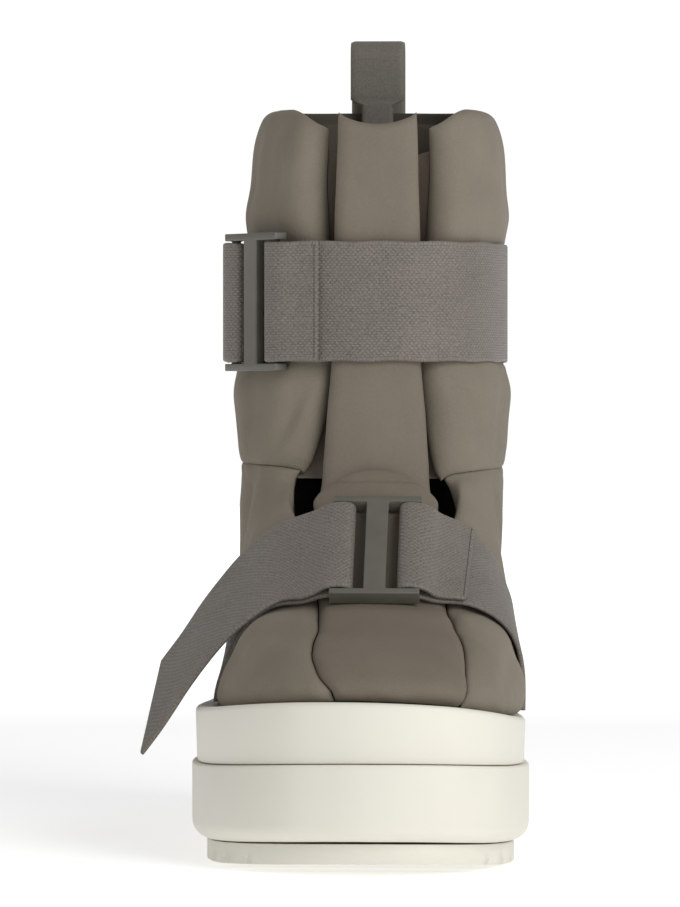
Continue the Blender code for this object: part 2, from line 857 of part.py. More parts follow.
def instep_edges():
    """Front and back edge of the strap as points from the outer to the inner side."""
    half = WEBBING_WIDTH / 2
    angles = np.arange(-118.0, 118.1, 4.0)
    rows = np.array([-1.0, -0.5, 0.0, 0.5, 1.0])
    radii = []
    for angle in angles:
        origin, width, out = instep_station(angle)
        hits = np.array([outer_radius(origin + width * half * row, out) for row in rows])
        line = hits[0] + (hits[-1] - hits[0]) * (rows + 1) / 2
        lift = max(0.0, float((hits - line).max()))
        radii.append((hits[0] + lift + GAP + STRAP_EASE, hits[-1] + lift + GAP + STRAP_EASE))
    radii = hold_below(np.array(radii), angles)
    turns = np.radians(angles)
    flat = BUCKLE_LENGTH / 2 + 0.002
    near = np.abs(angles) < 26.0
    tight = []
    for column in range(2):
        radius = radii[:, column]
        seat = float((radius[near] * np.cos(turns[near])).max())
        points = [(r * math.sin(t), r * math.cos(t)) for r, t in zip(radius, turns)]
        hull = convex_hull(points + [(-flat, seat), (flat, seat)])
        ends = np.roll(hull, -1, axis=0)
        eased = []
        for turn in turns:
            ray = np.array([math.sin(turn), math.cos(turn)])
            best = 0.0
            for a, b in zip(hull, ends):
                side = b - a
                cross = ray[0] * side[1] - ray[1] * side[0]
                if abs(cross) < 1e-12:
                    continue
                reach = (a[0] * side[1] - a[1] * side[0]) / cross
                place = (a[0] * ray[1] - a[1] * ray[0]) / cross
                if reach > 0 and -1e-9 <= place <= 1 + 1e-9:
                    best = max(best, reach)
            eased.append(best)
        tight.append(eased)
    edges = []
    for column, row in ((0, -1.0), (1, 1.0)):
        points = []
        for angle, radius in zip(angles, tight[column]):
            origin, width, out = instep_station(angle)
            points.append(origin + width * half * row + out * radius)
        edges.append(np.array(points))
    return edges


def cut_at_sole(points):
    """Part of an edge from the buckle's centre down to the sole's top."""
    kept = [points[0]]
    for point in points[1:]:
        before = kept[-1]
        floor_before = float(midsole_top(before[0], before[1])) + GAP + STRAP_FOOT
        floor_here = float(midsole_top(point[0], point[1])) + GAP + STRAP_FOOT
        if point[2] < floor_here:
            share = (before[2] - floor_before) / ((before[2] - floor_before) - (point[2] - floor_here))
            kept.append(before + (point - before) * share)
            break
        kept.append(point)
    return np.array(kept)


def side_edges(edges, side):
    """Both edges of one side, each with its travelled length."""
    result = []
    for edge in edges:
        middle = len(edge) // 2
        points = edge[middle:] if side > 0 else edge[:middle + 1][::-1]
        points = cut_at_sole(points)
        steps = np.linalg.norm(np.diff(points, axis=0), axis=1)
        result.append((points, np.concatenate([[0.0], np.cumsum(steps)])))
    return result


INSTEP_EDGES = instep_edges()
INSTEP_SIDES = {side: side_edges(INSTEP_EDGES, side) for side in (-1, 1)}
FLAT_REACH = BUCKLE_LENGTH / 2 + 0.002


def instep_length(side):
    return sum(travel[-1] for _, travel in INSTEP_SIDES[side]) / 2


def edge_point(side, which, s):
    """Point on an edge: equal steps at the buckle, then stretched to the edge's end."""
    points, travel = INSTEP_SIDES[side][which]
    mean = instep_length(side)
    if s > FLAT_REACH:
        s = FLAT_REACH + (s - FLAT_REACH) * (travel[-1] - FLAT_REACH) / (mean - FLAT_REACH)
    return np.array([np.interp(s, travel, points[:, i]) for i in range(3)])


def instep_points(s):
    side = 1 if s >= 0 else -1
    return edge_point(side, 0, abs(s)), edge_point(side, 1, abs(s))


def instep_frame(s, _height):
    """Front edge, back edge and outward direction at a place along the instep strap."""
    ease = 0.003
    ends = (-instep_length(-1), instep_length(1))
    before = instep_points(max(s - ease, ends[0]))
    after = instep_points(min(s + ease, ends[1]))
    front, back = instep_points(min(max(s, ends[0]), ends[1]))
    tangent = unit((after[0] + after[1]) - (before[0] + before[1]))
    width = unit(back - front)
    out = unit(np.cross(tangent, width))
    if abs(s) < FLAT_REACH - ease:
        front = (before[0] + after[0]) / 2
        back = (before[1] + after[1]) / 2
    return front, back, out


def tail_frame(s, height):
    """The instep strap's two layers: the upper one leaves the foot as a free end."""
    if s >= -TAIL_START or height < UNDER + WEBBING_THICKNESS * 0.6:
        return instep_frame(s, height)
    edges = list(instep_frame(-TAIL_START, height)[:2])
    travelled = -TAIL_START - s
    count = 24
    shares = [row[0] for row in TAIL_DROP]
    ahead = np.zeros(3)
    for edge, length in ((0, TAIL_LENGTH + TAIL_SLANT), (1, TAIL_LENGTH)):
        drops = [row[edge + 1] for row in TAIL_DROP]
        for i in range(count):
            share = (i + 0.5) / count * travelled / TAIL_LENGTH
            angle = math.radians(float(np.interp(share, shares, drops)))
            ahead = np.array([-math.cos(angle), 0.0, -math.sin(angle)])
            edges[edge] = edges[edge] + ahead * travelled * length / TAIL_LENGTH / count
    front, back = edges
    return front, back, unit(np.cross(-ahead, unit(back - front)))


def ribbon(name, path, frame, thickness, made_of, rows=1):
    """Folded band: path holds places along and above the surface, frame carries them."""
    path = np.array(path)
    count = len(path)
    verts = []
    for i in range(count):
        before = path[max(i - 1, 0)]
        after = path[min(i + 1, count - 1)]
        direction = unit(after - before)
        side = np.array([-direction[1], direction[0]]) * thickness / 2
        for sign in (1, -1):
            s, n = path[i] + side * sign
            low, high, out = frame(s, n)
            line = [low + (high - low) * k / rows + out * n for k in range(rows + 1)]
            verts += line if sign > 0 else line[::-1]
    ring = 2 * (rows + 1)
    faces = []
    for i in range(count - 1):
        for k in range(ring):
            a = i * ring + k
            b = i * ring + (k + 1) % ring
            faces.append((a, b, b + ring, a + ring))
    for start in (0, (count - 1) * ring):
        for k in range(rows):
            faces.append((start + k, start + k + 1, start + ring - 2 - k, start + ring - 1 - k))
    return add_object(name, verts, faces, made_of)


UNDER = GAP + WEBBING_THICKNESS / 2
OVER = UNDER + 2 * BEND_RADIUS
LAPPED = UNDER + WEBBING_THICKNESS + LAP_GAP
SIDE_BAR_OUT = BUCKLE_BAR / 2 + BUCKLE_SLOT + BUCKLE_SIDE_BAR
BEND_CENTRE = SIDE_BAR_OUT - BUCKLE_SIDE_BAR + 0.0004


def fold(sign, lap):
    """Outer layer, bend round the side bar and start of the under layer, from the sewn end."""
    path = [
        (lap, LAPPED),
        (lap * 0.5 + SIDE_BAR_OUT * 0.5 + 0.0040, LAPPED),
        (SIDE_BAR_OUT + 0.0075, LAPPED + 0.0002),
        (SIDE_BAR_OUT + 0.0045, (LAPPED + OVER) / 2 + 0.0004),
        (SIDE_BAR_OUT + 0.0012, OVER),
        (BEND_CENTRE, OVER),
    ]
    for step in range(1, 6):
        angle = math.radians(90 + 30 * step)
        path.append((
            BEND_CENTRE + BEND_RADIUS * math.cos(angle),
            UNDER + BEND_RADIUS + BEND_RADIUS * math.sin(angle),
        ))
    path.append((BEND_CENTRE, UNDER))
    path.append((SIDE_BAR_OUT + 0.0015, UNDER))
    return [(sign * s, n) for s, n in path]


def places(first, last, step):
    count = max(2, round(abs(last - first) / step) + 1)
    return np.linspace(first, last, count)


def make_ankle_strap():
    path = fold(1, ANKLE_LAP)
    for s in places(SIDE_BAR_OUT + 0.006, ANKLE_GIRTH - SIDE_BAR_OUT - 0.006, 0.0062):
        path.append((s, UNDER))
    back = fold(-1, ANKLE_TAIL)[::-1]
    last = back[-1]
    back = back[:-2]
    for s in places(back[-1][0] - 0.006, last[0], 0.0062):
        back.append((s, LAPPED))
    path += [(ANKLE_GIRTH + s, n) for s, n in back]
    return ribbon("ankle_strap", path, ankle_frame, WEBBING_THICKNESS, WEBBING)


def make_instep_inner():
    path = fold(1, INSTEP_LAP)
    lap_end = path[0]
    path = [(s, LAPPED) for s in places(lap_end[0], path[2][0] + 0.005, 0.006)] + path[2:]
    for s in places(SIDE_BAR_OUT + 0.006, instep_length(1), 0.006):
        path.append((s, UNDER))
    return ribbon("instep_strap_inner", path, instep_frame, WEBBING_THICKNESS, WEBBING, 4)


def make_instep_outer():
    path = [(s, UNDER) for s in places(-instep_length(-1), -SIDE_BAR_OUT - 0.006, 0.006)]
    back = fold(-1, TAIL_START)[::-1]
    path += back[:-2]
    for s in places(back[-3][0] - 0.004, -TAIL_START - TAIL_LENGTH, 0.006):
        path.append((s, LAPPED))
    return ribbon("instep_strap_outer", path, tail_frame, WEBBING_THICKNESS, WEBBING, 4)


# Buckles
def make_buckle(name, frame):
    """Slide buckle: two raised flanges joined by a centre bar and two side bars."""
    low, high, out = frame(0.0, 0.0)
    width = unit(high - low)
    along = unit(np.cross(width, out))
    middle = (low + high) / 2
    half = BUCKLE_LENGTH / 2
    bar = BUCKLE_BAR / 2
    side_in = SIDE_BAR_OUT - BUCKLE_SIDE_BAR
    across = [-half, -SIDE_BAR_OUT, -side_in, -bar, bar, side_in, SIDE_BAR_OUT, half]
    inner = WEBBING_WIDTH / 2 + SIDE_GAP
    outer = BUCKLE_HEIGHT / 2
    up = [-outer, -inner, inner, outer]
    seat = UNDER + BEND_RADIUS - BUCKLE_PLATE / 2
    levels = (seat, seat + BUCKLE_PLATE)
    body = bmesh.new()
    grid = {}
    for level in (0, 1):
        for i, t in enumerate(across):
            for k, w in enumerate(up):
                point = middle + along * t + width * w + out * levels[level]
                grid[level, i, k] = body.verts.new(Vector(point))

    def present(i, k):
        if not (0 <= i < len(across) - 1 and 0 <= k < 3):
            return False
        return k != 1 or i in (1, 3, 5)

    raised = []
    lowered = []
    for i in range(len(across) - 1):
        for k in range(3):
            if not present(i, k):
                continue
            corners = ((i, k), (i + 1, k), (i + 1, k + 1), (i, k + 1))
            top = body.faces.new([grid[1, a, b] for a, b in corners])
            bottom = body.faces.new([grid[0, a, b] for a, b in reversed(corners)])
            if k != 1:
                raised.append(top)
                lowered.append(bottom)
            elif i == 3:
                raised.append(top)
            for (di, dk), (p, q) in (
                ((0, -1), (0, 1)), ((1, 0), (1, 2)), ((0, 1), (2, 3)), ((-1, 0), (3, 0)),
            ):
                if not present(i + di, k + dk):
                    a = corners[p]
                    b = corners[q]
                    body.faces.new([
                        grid[0, a[0], a[1]], grid[0, b[0], b[1]],
                        grid[1, b[0], b[1]], grid[1, a[0], a[1]],
                    ])
    for vert in [v for v in body.verts if not v.link_faces]:
        body.verts.remove(vert)
    bmesh.ops.recalc_face_normals(body, faces=body.faces)
    for faces, way in ((raised, 1.0), (lowered, -1.0)):
        grown = bmesh.ops.extrude_face_region(body, geom=faces)
        moved = [g for g in grown["geom"] if isinstance(g, bmesh.types.BMVert)]
        bmesh.ops.translate(body, verts=moved, vec=Vector(out * FLANGE_RISE * way))
        bmesh.ops.delete(body, geom=faces, context="FACES")
    for vert in [v for v in body.verts if not v.link_faces]:
        body.verts.remove(vert)
    bmesh.ops.recalc_face_normals(body, faces=body.faces)
    mesh = bpy.data.meshes.new(name)
    body.to_mesh(mesh)
    body.free()
    mesh.materials.append(PAINTED)
    thing = bpy.data.objects.new(name, mesh)
    bpy.context.scene.collection.objects.link(thing)
    return thing


# Pull loop over the back of the collar
def make_pull_loop():
    half = LOOP_WIDTH / 2
    rim = COLLAR_HEIGHT + BACK_RIM_RISE
    low = COLLAR_HEIGHT - LOOP_DROP
    outside = []
    inside = []
    for x in np.linspace(-half, half, 9):
        for z in np.linspace(low, rim, 9):
            hit = BODY_TREE.ray_cast(Vector((x, REACH, z)), Vector((0, -1, 0)), REACH / 2 + 0.05)[0]
            if hit is not None:
                outside.append(hit.y)
            hit = BODY_TREE.ray_cast(Vector((x, SHAFT_DEPTH / 2, z)), Vector((0, 1, 0)), REACH)[0]
            if hit is not None:
                inside.append(hit.y)
    thick = LOOP_THICKNESS
    y_out = max(outside) + GAP + STRAP_EASE + thick / 2
    y_in = min(inside) - GAP - STRAP_EASE - thick / 2
    radius = (y_out - y_in) / 2
    top = rim + LOOP_RISE - thick / 2 - radius
    taper = rim + 0.0012
    centre = (y_out + y_in) / 2
    line = [(y_in, low, LOOP_TAB_WIDTH), (y_in, taper - 0.0004, LOOP_TAB_WIDTH)]
    line += [(y_in, taper, LOOP_WIDTH), (y_in, (taper + top) / 2, LOOP_WIDTH)]
    for step in range(9):
        angle = math.pi * (1 - step / 8)
        line.append((centre + radius * math.cos(angle), top + radius * math.sin(angle), LOOP_WIDTH))
    line += [(y_out, (taper + top) / 2, LOOP_WIDTH), (y_out, low, LOOP_WIDTH)]
    verts = []
    for i, (y, z, width) in enumerate(line):
        before = line[max(i - 1, 0)]
        after = line[min(i + 1, len(line) - 1)]
        run = unit((after[0] - before[0], after[1] - before[1]))
        out = (-run[1] * thick / 2, run[0] * thick / 2)
        for x, sign in ((-width / 2, 1), (width / 2, 1), (width / 2, -1), (-width / 2, -1)):
            verts.append((x, y + out[0] * sign, z + out[1] * sign))
    faces = [(3, 2, 1, 0)]
    for i in range(len(line) - 1):
        for k in range(4):
            a = i * 4 + k
            b = i * 4 + (k + 1) % 4
            faces.append((a, b, b + 4, a + 4))
    end = (len(line) - 1) * 4
    faces.append((end, end + 1, end + 2, end + 3))
    return add_object("pull_loop", verts, faces, TAPE)


ANKLE_STRAP = make_ankle_strap()
ANKLE_BUCKLE = make_buckle("ankle_buckle", ankle_frame)
INSTEP_INNER = make_instep_inner()
INSTEP_OUTER = make_instep_outer()
INSTEP_BUCKLE = make_buckle("instep_buckle", instep_frame)
PULL_LOOP = make_pull_loop()
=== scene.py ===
# %% [markdown]
# # Padded platform boot, right foot
#
# A tall winter boot: a soft padded upper, two wide webbing straps with slide buckles and a thick
# two-tier rubber sole. The measured frame is loaded first. Everything made below takes the place of one
# of its solids and keeps its size.

# %% Start from the measured frame
import json
import math

import bmesh
import bpy
import numpy as np
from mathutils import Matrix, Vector, noise
from mathutils.bvhtree import BVHTree

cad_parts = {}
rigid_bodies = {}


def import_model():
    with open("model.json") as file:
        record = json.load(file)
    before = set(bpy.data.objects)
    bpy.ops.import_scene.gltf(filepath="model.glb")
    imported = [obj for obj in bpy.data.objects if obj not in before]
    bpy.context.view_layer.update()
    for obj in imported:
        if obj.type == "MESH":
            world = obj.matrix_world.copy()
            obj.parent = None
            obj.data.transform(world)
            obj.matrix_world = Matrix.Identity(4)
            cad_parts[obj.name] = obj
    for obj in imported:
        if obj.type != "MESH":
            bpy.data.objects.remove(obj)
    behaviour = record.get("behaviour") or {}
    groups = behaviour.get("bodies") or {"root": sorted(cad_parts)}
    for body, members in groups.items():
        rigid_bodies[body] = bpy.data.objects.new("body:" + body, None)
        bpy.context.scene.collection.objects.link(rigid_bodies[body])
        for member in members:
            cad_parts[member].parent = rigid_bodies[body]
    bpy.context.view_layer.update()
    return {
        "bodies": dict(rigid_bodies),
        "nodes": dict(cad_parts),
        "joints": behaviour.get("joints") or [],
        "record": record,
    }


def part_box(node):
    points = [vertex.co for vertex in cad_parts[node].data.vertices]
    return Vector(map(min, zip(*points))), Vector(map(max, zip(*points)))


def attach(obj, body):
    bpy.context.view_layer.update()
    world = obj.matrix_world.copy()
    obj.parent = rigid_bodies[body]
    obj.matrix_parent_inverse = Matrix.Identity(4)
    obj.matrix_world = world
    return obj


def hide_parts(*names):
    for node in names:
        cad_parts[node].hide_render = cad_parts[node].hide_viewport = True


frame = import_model()
NODES = frame["nodes"]
print("solids in the frame:", ", ".join(sorted(NODES)))

# %% [markdown]
# The sizes of the boot, in metres, and the short tables that shape its plan and its sections. The last
# row of each table is the last place along the foot or up the shaft.

# %% Sizes and tables
SOLE_LENGTH = 0.320
TOE_Y = -SOLE_LENGTH / 2
BALL_OUTER = 0.0682
BALL_INNER = 0.0679
TOE_SPRING = 0.0057
OUTSOLE_THICKNESS = 0.0085
PLATFORM_HEIGHT = 0.0302
PLATFORM_ROUND = 0.0070
MIDSOLE_HEIGHT = 0.0198
MIDSOLE_TOE_RISE = 0.0040
MIDSOLE_HEEL_RISE = 0.0110
MIDSOLE_INSET = 0.0014
MIDSOLE_SIDE_TILT = 0.0036
INSOLE_THICKNESS = 0.0040

# Upper sizes
SHAFT_DEPTH = 0.142
SHAFT_OUTER = 0.0570
SHAFT_INNER = 0.0548
COLLAR_HEIGHT = 0.309
INSTEP_HEIGHT = 0.156
VAMP_OUTER = 0.0600
VAMP_INNER = 0.0625
VAMP_LENGTH = 0.308
PADDING = 0.0100
VAMP_WALL = 0.0050
THROAT_HALF = 0.0300
TONGUE_THICKNESS = 0.0080
THROAT_SHIFT = 0.0042
VAMP_SETBACK = 0.001
VAMP_TOP_RISE = 0.0190
TAB_BASE = 0.55
TAB_LEAN = 0.42

# Straps and buckles
WEBBING_WIDTH = 0.050
WEBBING_THICKNESS = 0.0020
BUCKLE_LENGTH = 0.0362
BUCKLE_BAR = 0.0089
BUCKLE_SIDE_BAR = 0.0036
BUCKLE_SLOT = 0.0074
BEND_RADIUS = 0.0028
ANKLE_STRAP_HEIGHT = 0.2250
ANKLE_BUCKLE_TURN = 51.0
ANKLE_BUCKLE_X = -0.0440
ANKLE_LAP = 0.0330
ANKLE_TAIL = 0.1150
INSTEP_BUCKLE_X = 0.0045
INSTEP_AXIS_Y = -0.0280
INSTEP_AXIS_Z = 0.0860
SIDE_AXIS_Y = -0.0370
INSTEP_SLOPE = 37.0
SIDE_SLOPE = 9.0
INSTEP_LAP = 0.0390
TAIL_START = 0.0420
TAIL_LENGTH = 0.0700
TAIL_SLANT = 0.0140
STRAP_FOOT = 0.0012
STRAP_EASE = 0.0005
LAP_GAP = 0.0007
LOOP_WIDTH = 0.0237
LOOP_TAB_WIDTH = 0.0139
LOOP_THICKNESS = 0.0020

# Clearances
GAP = 0.0003
SIDE_GAP = 0.0008
TUCKED_GAP = 0.0032

# Columns of half a ring, columns from its middle to the throat's edge, and columns of a whole ring
HALF = 28
PANEL = 4
COLUMNS = 2 * HALF

# Plan of the sole: share of the length from the toe, share of the ball's half width,
# outer side negative
SOLE_PLAN = [
    # along, across
    (0.000, 0.235),
    (0.025, 0.588),
    (0.088, 0.824),
    (0.181, 0.956),
    (0.275, 1.000),
    (0.390, 0.945),
    (0.516, 0.840),
    (0.641, 0.745),
    (0.766, 0.695),
    (0.866, 0.645),
    (0.947, 0.500),
    (0.989, 0.265),
    (1.000, 0.000),
    (0.989, -0.265),
    (0.950, -0.500),
    (0.866, -0.654),
    (0.766, -0.720),
    (0.641, -0.812),
    (0.516, -0.915),
    (0.406, -0.985),
    (0.306, -1.000),
    (0.194, -0.912),
    (0.100, -0.706),
    (0.034, -0.412),
    (0.005, -0.088),
]
TOE_ROW = 0
HEEL_ROW = 12

# Rings of the upper, from the sole to the collar. Front and back places are shares of
# the vamp's length or of the shaft's depth from the ankle's front, heights are shares
# of the instep height or the collar height, widths are shares of the vamp's or the
# shaft's half widths.
VAMP_RINGS = [
    # front, front height, back, back height, outer, inner, panel, oval, slim
    (1.000, 0.000, 1.000, 0.000, 1.000, 0.995, 0.95, 0.00, 0.05),
    (1.006, 0.066, 1.010, 0.110, 1.020, 1.015, 1.00, 0.00, 0.09),
    (0.974, 0.136, 1.018, 0.240, 1.025, 1.014, 1.00, 0.06, 0.13),
    (0.893, 0.226, 1.016, 0.370, 1.010, 0.990, 1.00, 0.14, 0.16),
    (0.775, 0.296, 1.008, 0.490, 0.985, 0.960, 1.00, 0.24, 0.17),
    (0.640, 0.353, 0.996, 0.600, 0.965, 0.930, 1.00, 0.38, 0.16),
    (0.505, 0.424, 0.984, 0.700, 0.948, 0.900, 1.00, 0.54, 0.11),
    (0.362, 0.600, 0.972, 0.800, 0.938, 0.880, 1.00, 0.72, 0.06),
    (0.252, 0.760, 0.962, 0.895, 0.934, 0.870, 1.00, 0.88, 0.02),
    (0.150, 0.925, 0.952, 0.975, 0.934, 0.872, 0.97, 1.00, 0.00),
]
SHAFT_RINGS = [
    # front, back, share of the way up to the collar, outer, inner, panel, oval, wall
    (-0.098, 1.012, 0.020, 1.012, 1.008, 0.86, 1.00, 0.90),
    (-0.042, 1.003, 0.150, 1.022, 1.018, 0.75, 1.00, 1.00),
    (-0.014, 1.000, 0.290, 0.996, 0.978, 0.69, 1.00, 1.00),
    (0.000, 1.000, 0.450, 0.948, 0.965, 0.68, 1.00, 1.00),
    (0.000, 1.000, 0.615, 0.922, 0.980, 0.67, 1.00, 1.00),
    (0.000, 1.006, 0.760, 0.916, 0.994, 0.64, 1.00, 1.00),
    (0.005, 1.012, 0.875, 0.884, 0.980, 0.625, 1.00, 0.94),
    (0.020, 1.016, 0.950, 0.830, 0.925, 0.615, 1.00, 0.76),
    (0.052, 1.000, 0.990, 0.752, 0.832, 0.61, 1.00, 0.40),
]
BACK_RIM_RISE = 0.0040
SLIM_PLACE = 0.28
SLIM_REACH = 0.22

# Drop of the free end below the horizontal, in degrees, along its share of the length
TAIL_DROP = [
    # share, front edge, back edge
    (0.00, 27.0, 38.0),
    (0.30, 46.0, 49.0),
    (0.65, 58.0, 57.0),
    (1.00, 52.0, 52.0),
]

# %% [markdown]
# A smooth outline needs only a few measured points: a spline through them gives the rest. These helpers
# draw the closed rings that the sole and the upper are made of. Column 0 is the toe, the inner side
# follows, the heel is half way round, and the outer side comes back to the toe.

# %% Rings round the foot


def catmull(points, closed, per_span):
    """Smooth polyline through points."""
    rows = [np.array(p, dtype=float) for p in points]
    count = len(rows)
    spans = count if closed else count - 1
    result = []
    for i in range(spans):
        if closed:
            a, b, c, d = (rows[(i + k - 1) % count] for k in range(4))
        else:
            a = rows[max(i - 1, 0)]
            b = rows[i]
            c = rows[i + 1]
            d = rows[min(i + 2, count - 1)]
        for step in range(per_span):
            t = step / per_span
            result.append(
                0.5 * (2 * b + (c - a) * t + (2 * a - 5 * b + 4 * c - d) * t * t
                       + (3 * b - a - 3 * c + d) * t ** 3)
            )
    if not closed:
        result.append(rows[-1])
    return np.array(result)


def length_along(line):
    """Travelled length at each point of a line."""
    steps = np.linalg.norm(np.diff(line, axis=0), axis=1)
    return np.concatenate([[0.0], np.cumsum(steps)])


def read_line(line, lengths, wanted):
    """Points of a line at the wanted lengths."""
    return np.stack([np.interp(wanted, lengths, line[:, i]) for i in range(line.shape[1])], axis=-1)


def resample(line, count):
    """Points at equal arc shares of an open polyline."""
    lengths = length_along(line)
    return read_line(line, lengths, np.linspace(0.0, lengths[-1], count))


def half_lines():
    """Outer and inner half of the sole's plan, toe to heel, as finely spaced shares."""
    per_span = 12
    line = catmull(SOLE_PLAN, True, per_span)
    toe = TOE_ROW * per_span
    heel = HEEL_ROW * per_span
    inner = line[toe:heel + 1]
    outer = np.concatenate([line[heel:], line[:1]])[::-1]
    return outer, inner


LINE_POINTS = 241
OVAL_STEPS = 720
OVAL_ROUNDNESS = 2.35
SOLE_OUTER_LINE, SOLE_INNER_LINE = (resample(part, LINE_POINTS) for part in half_lines())


def oval_line(sign):
    """Half of a rounded oval, front to back, as shares along and across."""
    power = 2.0 / OVAL_ROUNDNESS
    points = []
    for i in range(OVAL_STEPS + 1):
        angle = math.pi * i / OVAL_STEPS
        cos_a = math.cos(angle)
        sin_a = math.sin(angle)
        along = 0.5 - 0.5 * math.copysign(abs(cos_a) ** power, cos_a)
        across = sign * abs(sin_a) ** power
        points.append((along, across))
    return resample(np.array(points), LINE_POINTS)


OVAL_OUTER_LINE = oval_line(-1.0)
OVAL_INNER_LINE = oval_line(1.0)


def ring_half(side, front_y, back_y, half_width, oval, slim=0.0):
    """Half a ring in plan: X and Y along it, front to back, drawn in at the ball by slim."""
    sole = SOLE_OUTER_LINE if side < 0 else SOLE_INNER_LINE
    egg = OVAL_OUTER_LINE if side < 0 else OVAL_INNER_LINE
    share = (1.0 - oval) * sole + oval * egg
    x = share[:, 1] * half_width
    x = x * (1.0 - slim * np.exp(-((share[:, 0] - SLIM_PLACE) / SLIM_REACH) ** 2))
    x = x + oval * THROAT_SHIFT * (1.0 - share[:, 0]) ** 2
    y = front_y + (back_y - front_y) * share[:, 0]
    return np.stack([x, y], axis=1)


def spread(line, panel_half, centre):
    """Columns of half a ring: PANEL of them inside the panel, the rest behind it."""
    lengths = length_along(line)
    away = np.abs(line[:, 0] - centre)
    edge = 1
    while edge < len(line) - 2 and away[edge] < panel_half:
        edge += 1
    reach = lengths[edge]
    wanted = [reach * i / PANEL for i in range(PANEL)]
    rest = lengths[-1] - reach
    wanted += [reach + rest * i / (HALF - PANEL) for i in range(HALF - PANEL + 1)]
    return read_line(line, lengths, wanted)


def close_ring(outer, inner):
    """One closed ring from two halves: column 0 at the toe, then the inner side."""
    return np.concatenate([inner[:HALF], outer[1:HALF + 1][::-1]])


def sole_ring(inset):
    """The sole's outline, drawn in by an inset."""
    outer = ring_half(-1, TOE_Y, TOE_Y + SOLE_LENGTH, BALL_OUTER, 0.0)
    inner = ring_half(1, TOE_Y, TOE_Y + SOLE_LENGTH, BALL_INNER, 0.0)
    ring = close_ring(resample(outer, HALF + 1), resample(inner, HALF + 1))
    tangent = np.roll(ring, -1, axis=0) - np.roll(ring, 1, axis=0)
    tangent /= np.linalg.norm(tangent, axis=1)[:, None]
    inward = np.stack([-tangent[:, 1], tangent[:, 0]], axis=1)
    return ring + inward * inset


def along_share(y):
    return np.clip((np.asarray(y) - TOE_Y) / SOLE_LENGTH, 0.0, 1.0)


def spring(y):
    """Lift of the sole towards the toe."""
    u = along_share(y)
    lift = np.clip((0.27 - u) / 0.27, 0.0, 1.0)
    return TOE_SPRING * lift ** 1.6


def platform_floor(y):
    """Top of the tread plate."""
    return spring(y) * 0.9 + OUTSOLE_THICKNESS


def platform_top(y):
    return spring(y) * 0.9 + OUTSOLE_THICKNESS + GAP + PLATFORM_HEIGHT


def midsole_top(x, y):
    """Top line of the sole: raised at toe and heel, lower on the inner side."""
    u = along_share(y)
    toe = MIDSOLE_TOE_RISE * np.clip((0.30 - u) / 0.30, 0.0, 1.0) ** 1.3
    heel = MIDSOLE_HEEL_RISE * np.clip((u - 0.42) / 0.58, 0.0, 1.0) ** 1.2
    tilt = -MIDSOLE_SIDE_TILT * np.asarray(x) / (BALL_OUTER + BALL_INNER)
    return platform_top(y) + GAP + MIDSOLE_HEIGHT + toe + heel + tilt


print("outline of the sole:", len(SOLE_PLAN), "places,", round(SOLE_LENGTH * 1000), "mm long")

# %% [markdown]
# The upper's outer surface is a stack of these rings: ten over the vamp and nine up the shaft. The
# vamp's middle stands up over the tongue as a rounded tab.

# %% Rings of the upper
def ring_plan(front_y, back_y, outer, inner, panel, oval, slim=0.0):
    """One ring in plan, and the share of the way from front to back of each of its points."""
    line_out = ring_half(-1, front_y, back_y, outer, oval, slim)
    line_in = ring_half(1, front_y, back_y, inner, oval)
    centre = line_in[0, 0]
    half = panel * THROAT_HALF
    plan = close_ring(spread(line_out, half, centre), spread(line_in, half, centre))
    return plan, (plan[:, 1] - front_y) / (back_y - front_y)


def upper_rings():
    """Full outer surface of the upper, ring by ring, with the wall of each ring."""
    surfaces = []
    for front, front_z, back, back_z, outer, inner, panel, oval, slim in VAMP_RINGS:
        front_y = -VAMP_LENGTH / 2 * front + VAMP_SETBACK
        back_y = VAMP_LENGTH / 2 * back
        plan, share = ring_plan(
            front_y, back_y, outer * VAMP_OUTER, inner * VAMP_INNER, panel, oval, slim
        )
        base = midsole_top(plan[:, 0], plan[:, 1]) + GAP
        level = base + (front_z + (back_z - front_z) * share) * (INSTEP_HEIGHT - base)
        surfaces.append((np.column_stack([plan, level]), VAMP_WALL))
    for front, back, height, outer, inner, panel, oval, wall in SHAFT_RINGS:
        plan, share = ring_plan(
            front * SHAFT_DEPTH, back * SHAFT_DEPTH, outer * SHAFT_OUTER, inner * SHAFT_INNER,
            panel, oval,
        )
        level = INSTEP_HEIGHT + height * (COLLAR_HEIGHT - INSTEP_HEIGHT) + BACK_RIM_RISE * share * height
        surfaces.append((np.column_stack([plan, level]), wall * PADDING))
    return surfaces


def shape_vamp_top(surface):
    """Raise the vamp's middle over the tongue as a rounded tab."""
    shaped = surface.copy()
    for j in range(-PANEL, PANEL + 1):
        share = abs(j) / PANEL
        lift = math.sqrt(max(0.0, 1.0 - share * share)) - TAB_BASE
        shaped[j, 2] += VAMP_TOP_RISE * lift
        shaped[j, 1] += VAMP_TOP_RISE * lift * TAB_LEAN
    return shaped


SURFACES = upper_rings()
PLAIN = np.array([ring for ring, _ in SURFACES])
WALLS = np.array([wall for _, wall in SURFACES])
THROAT_RING = len(VAMP_RINGS) - 1
TOP_RING = len(PLAIN) - 1
RINGS = PLAIN.copy()
RINGS[THROAT_RING] = shape_vamp_top(RINGS[THROAT_RING])
print("rings of the upper:", len(RINGS), "with", COLUMNS, "columns")

# %% [markdown]
# Nineteen rings are enough to measure the boot but not to show cloth. A spline in both directions
# reads the surface at any place between them, and its normals are taken from the fine grid.

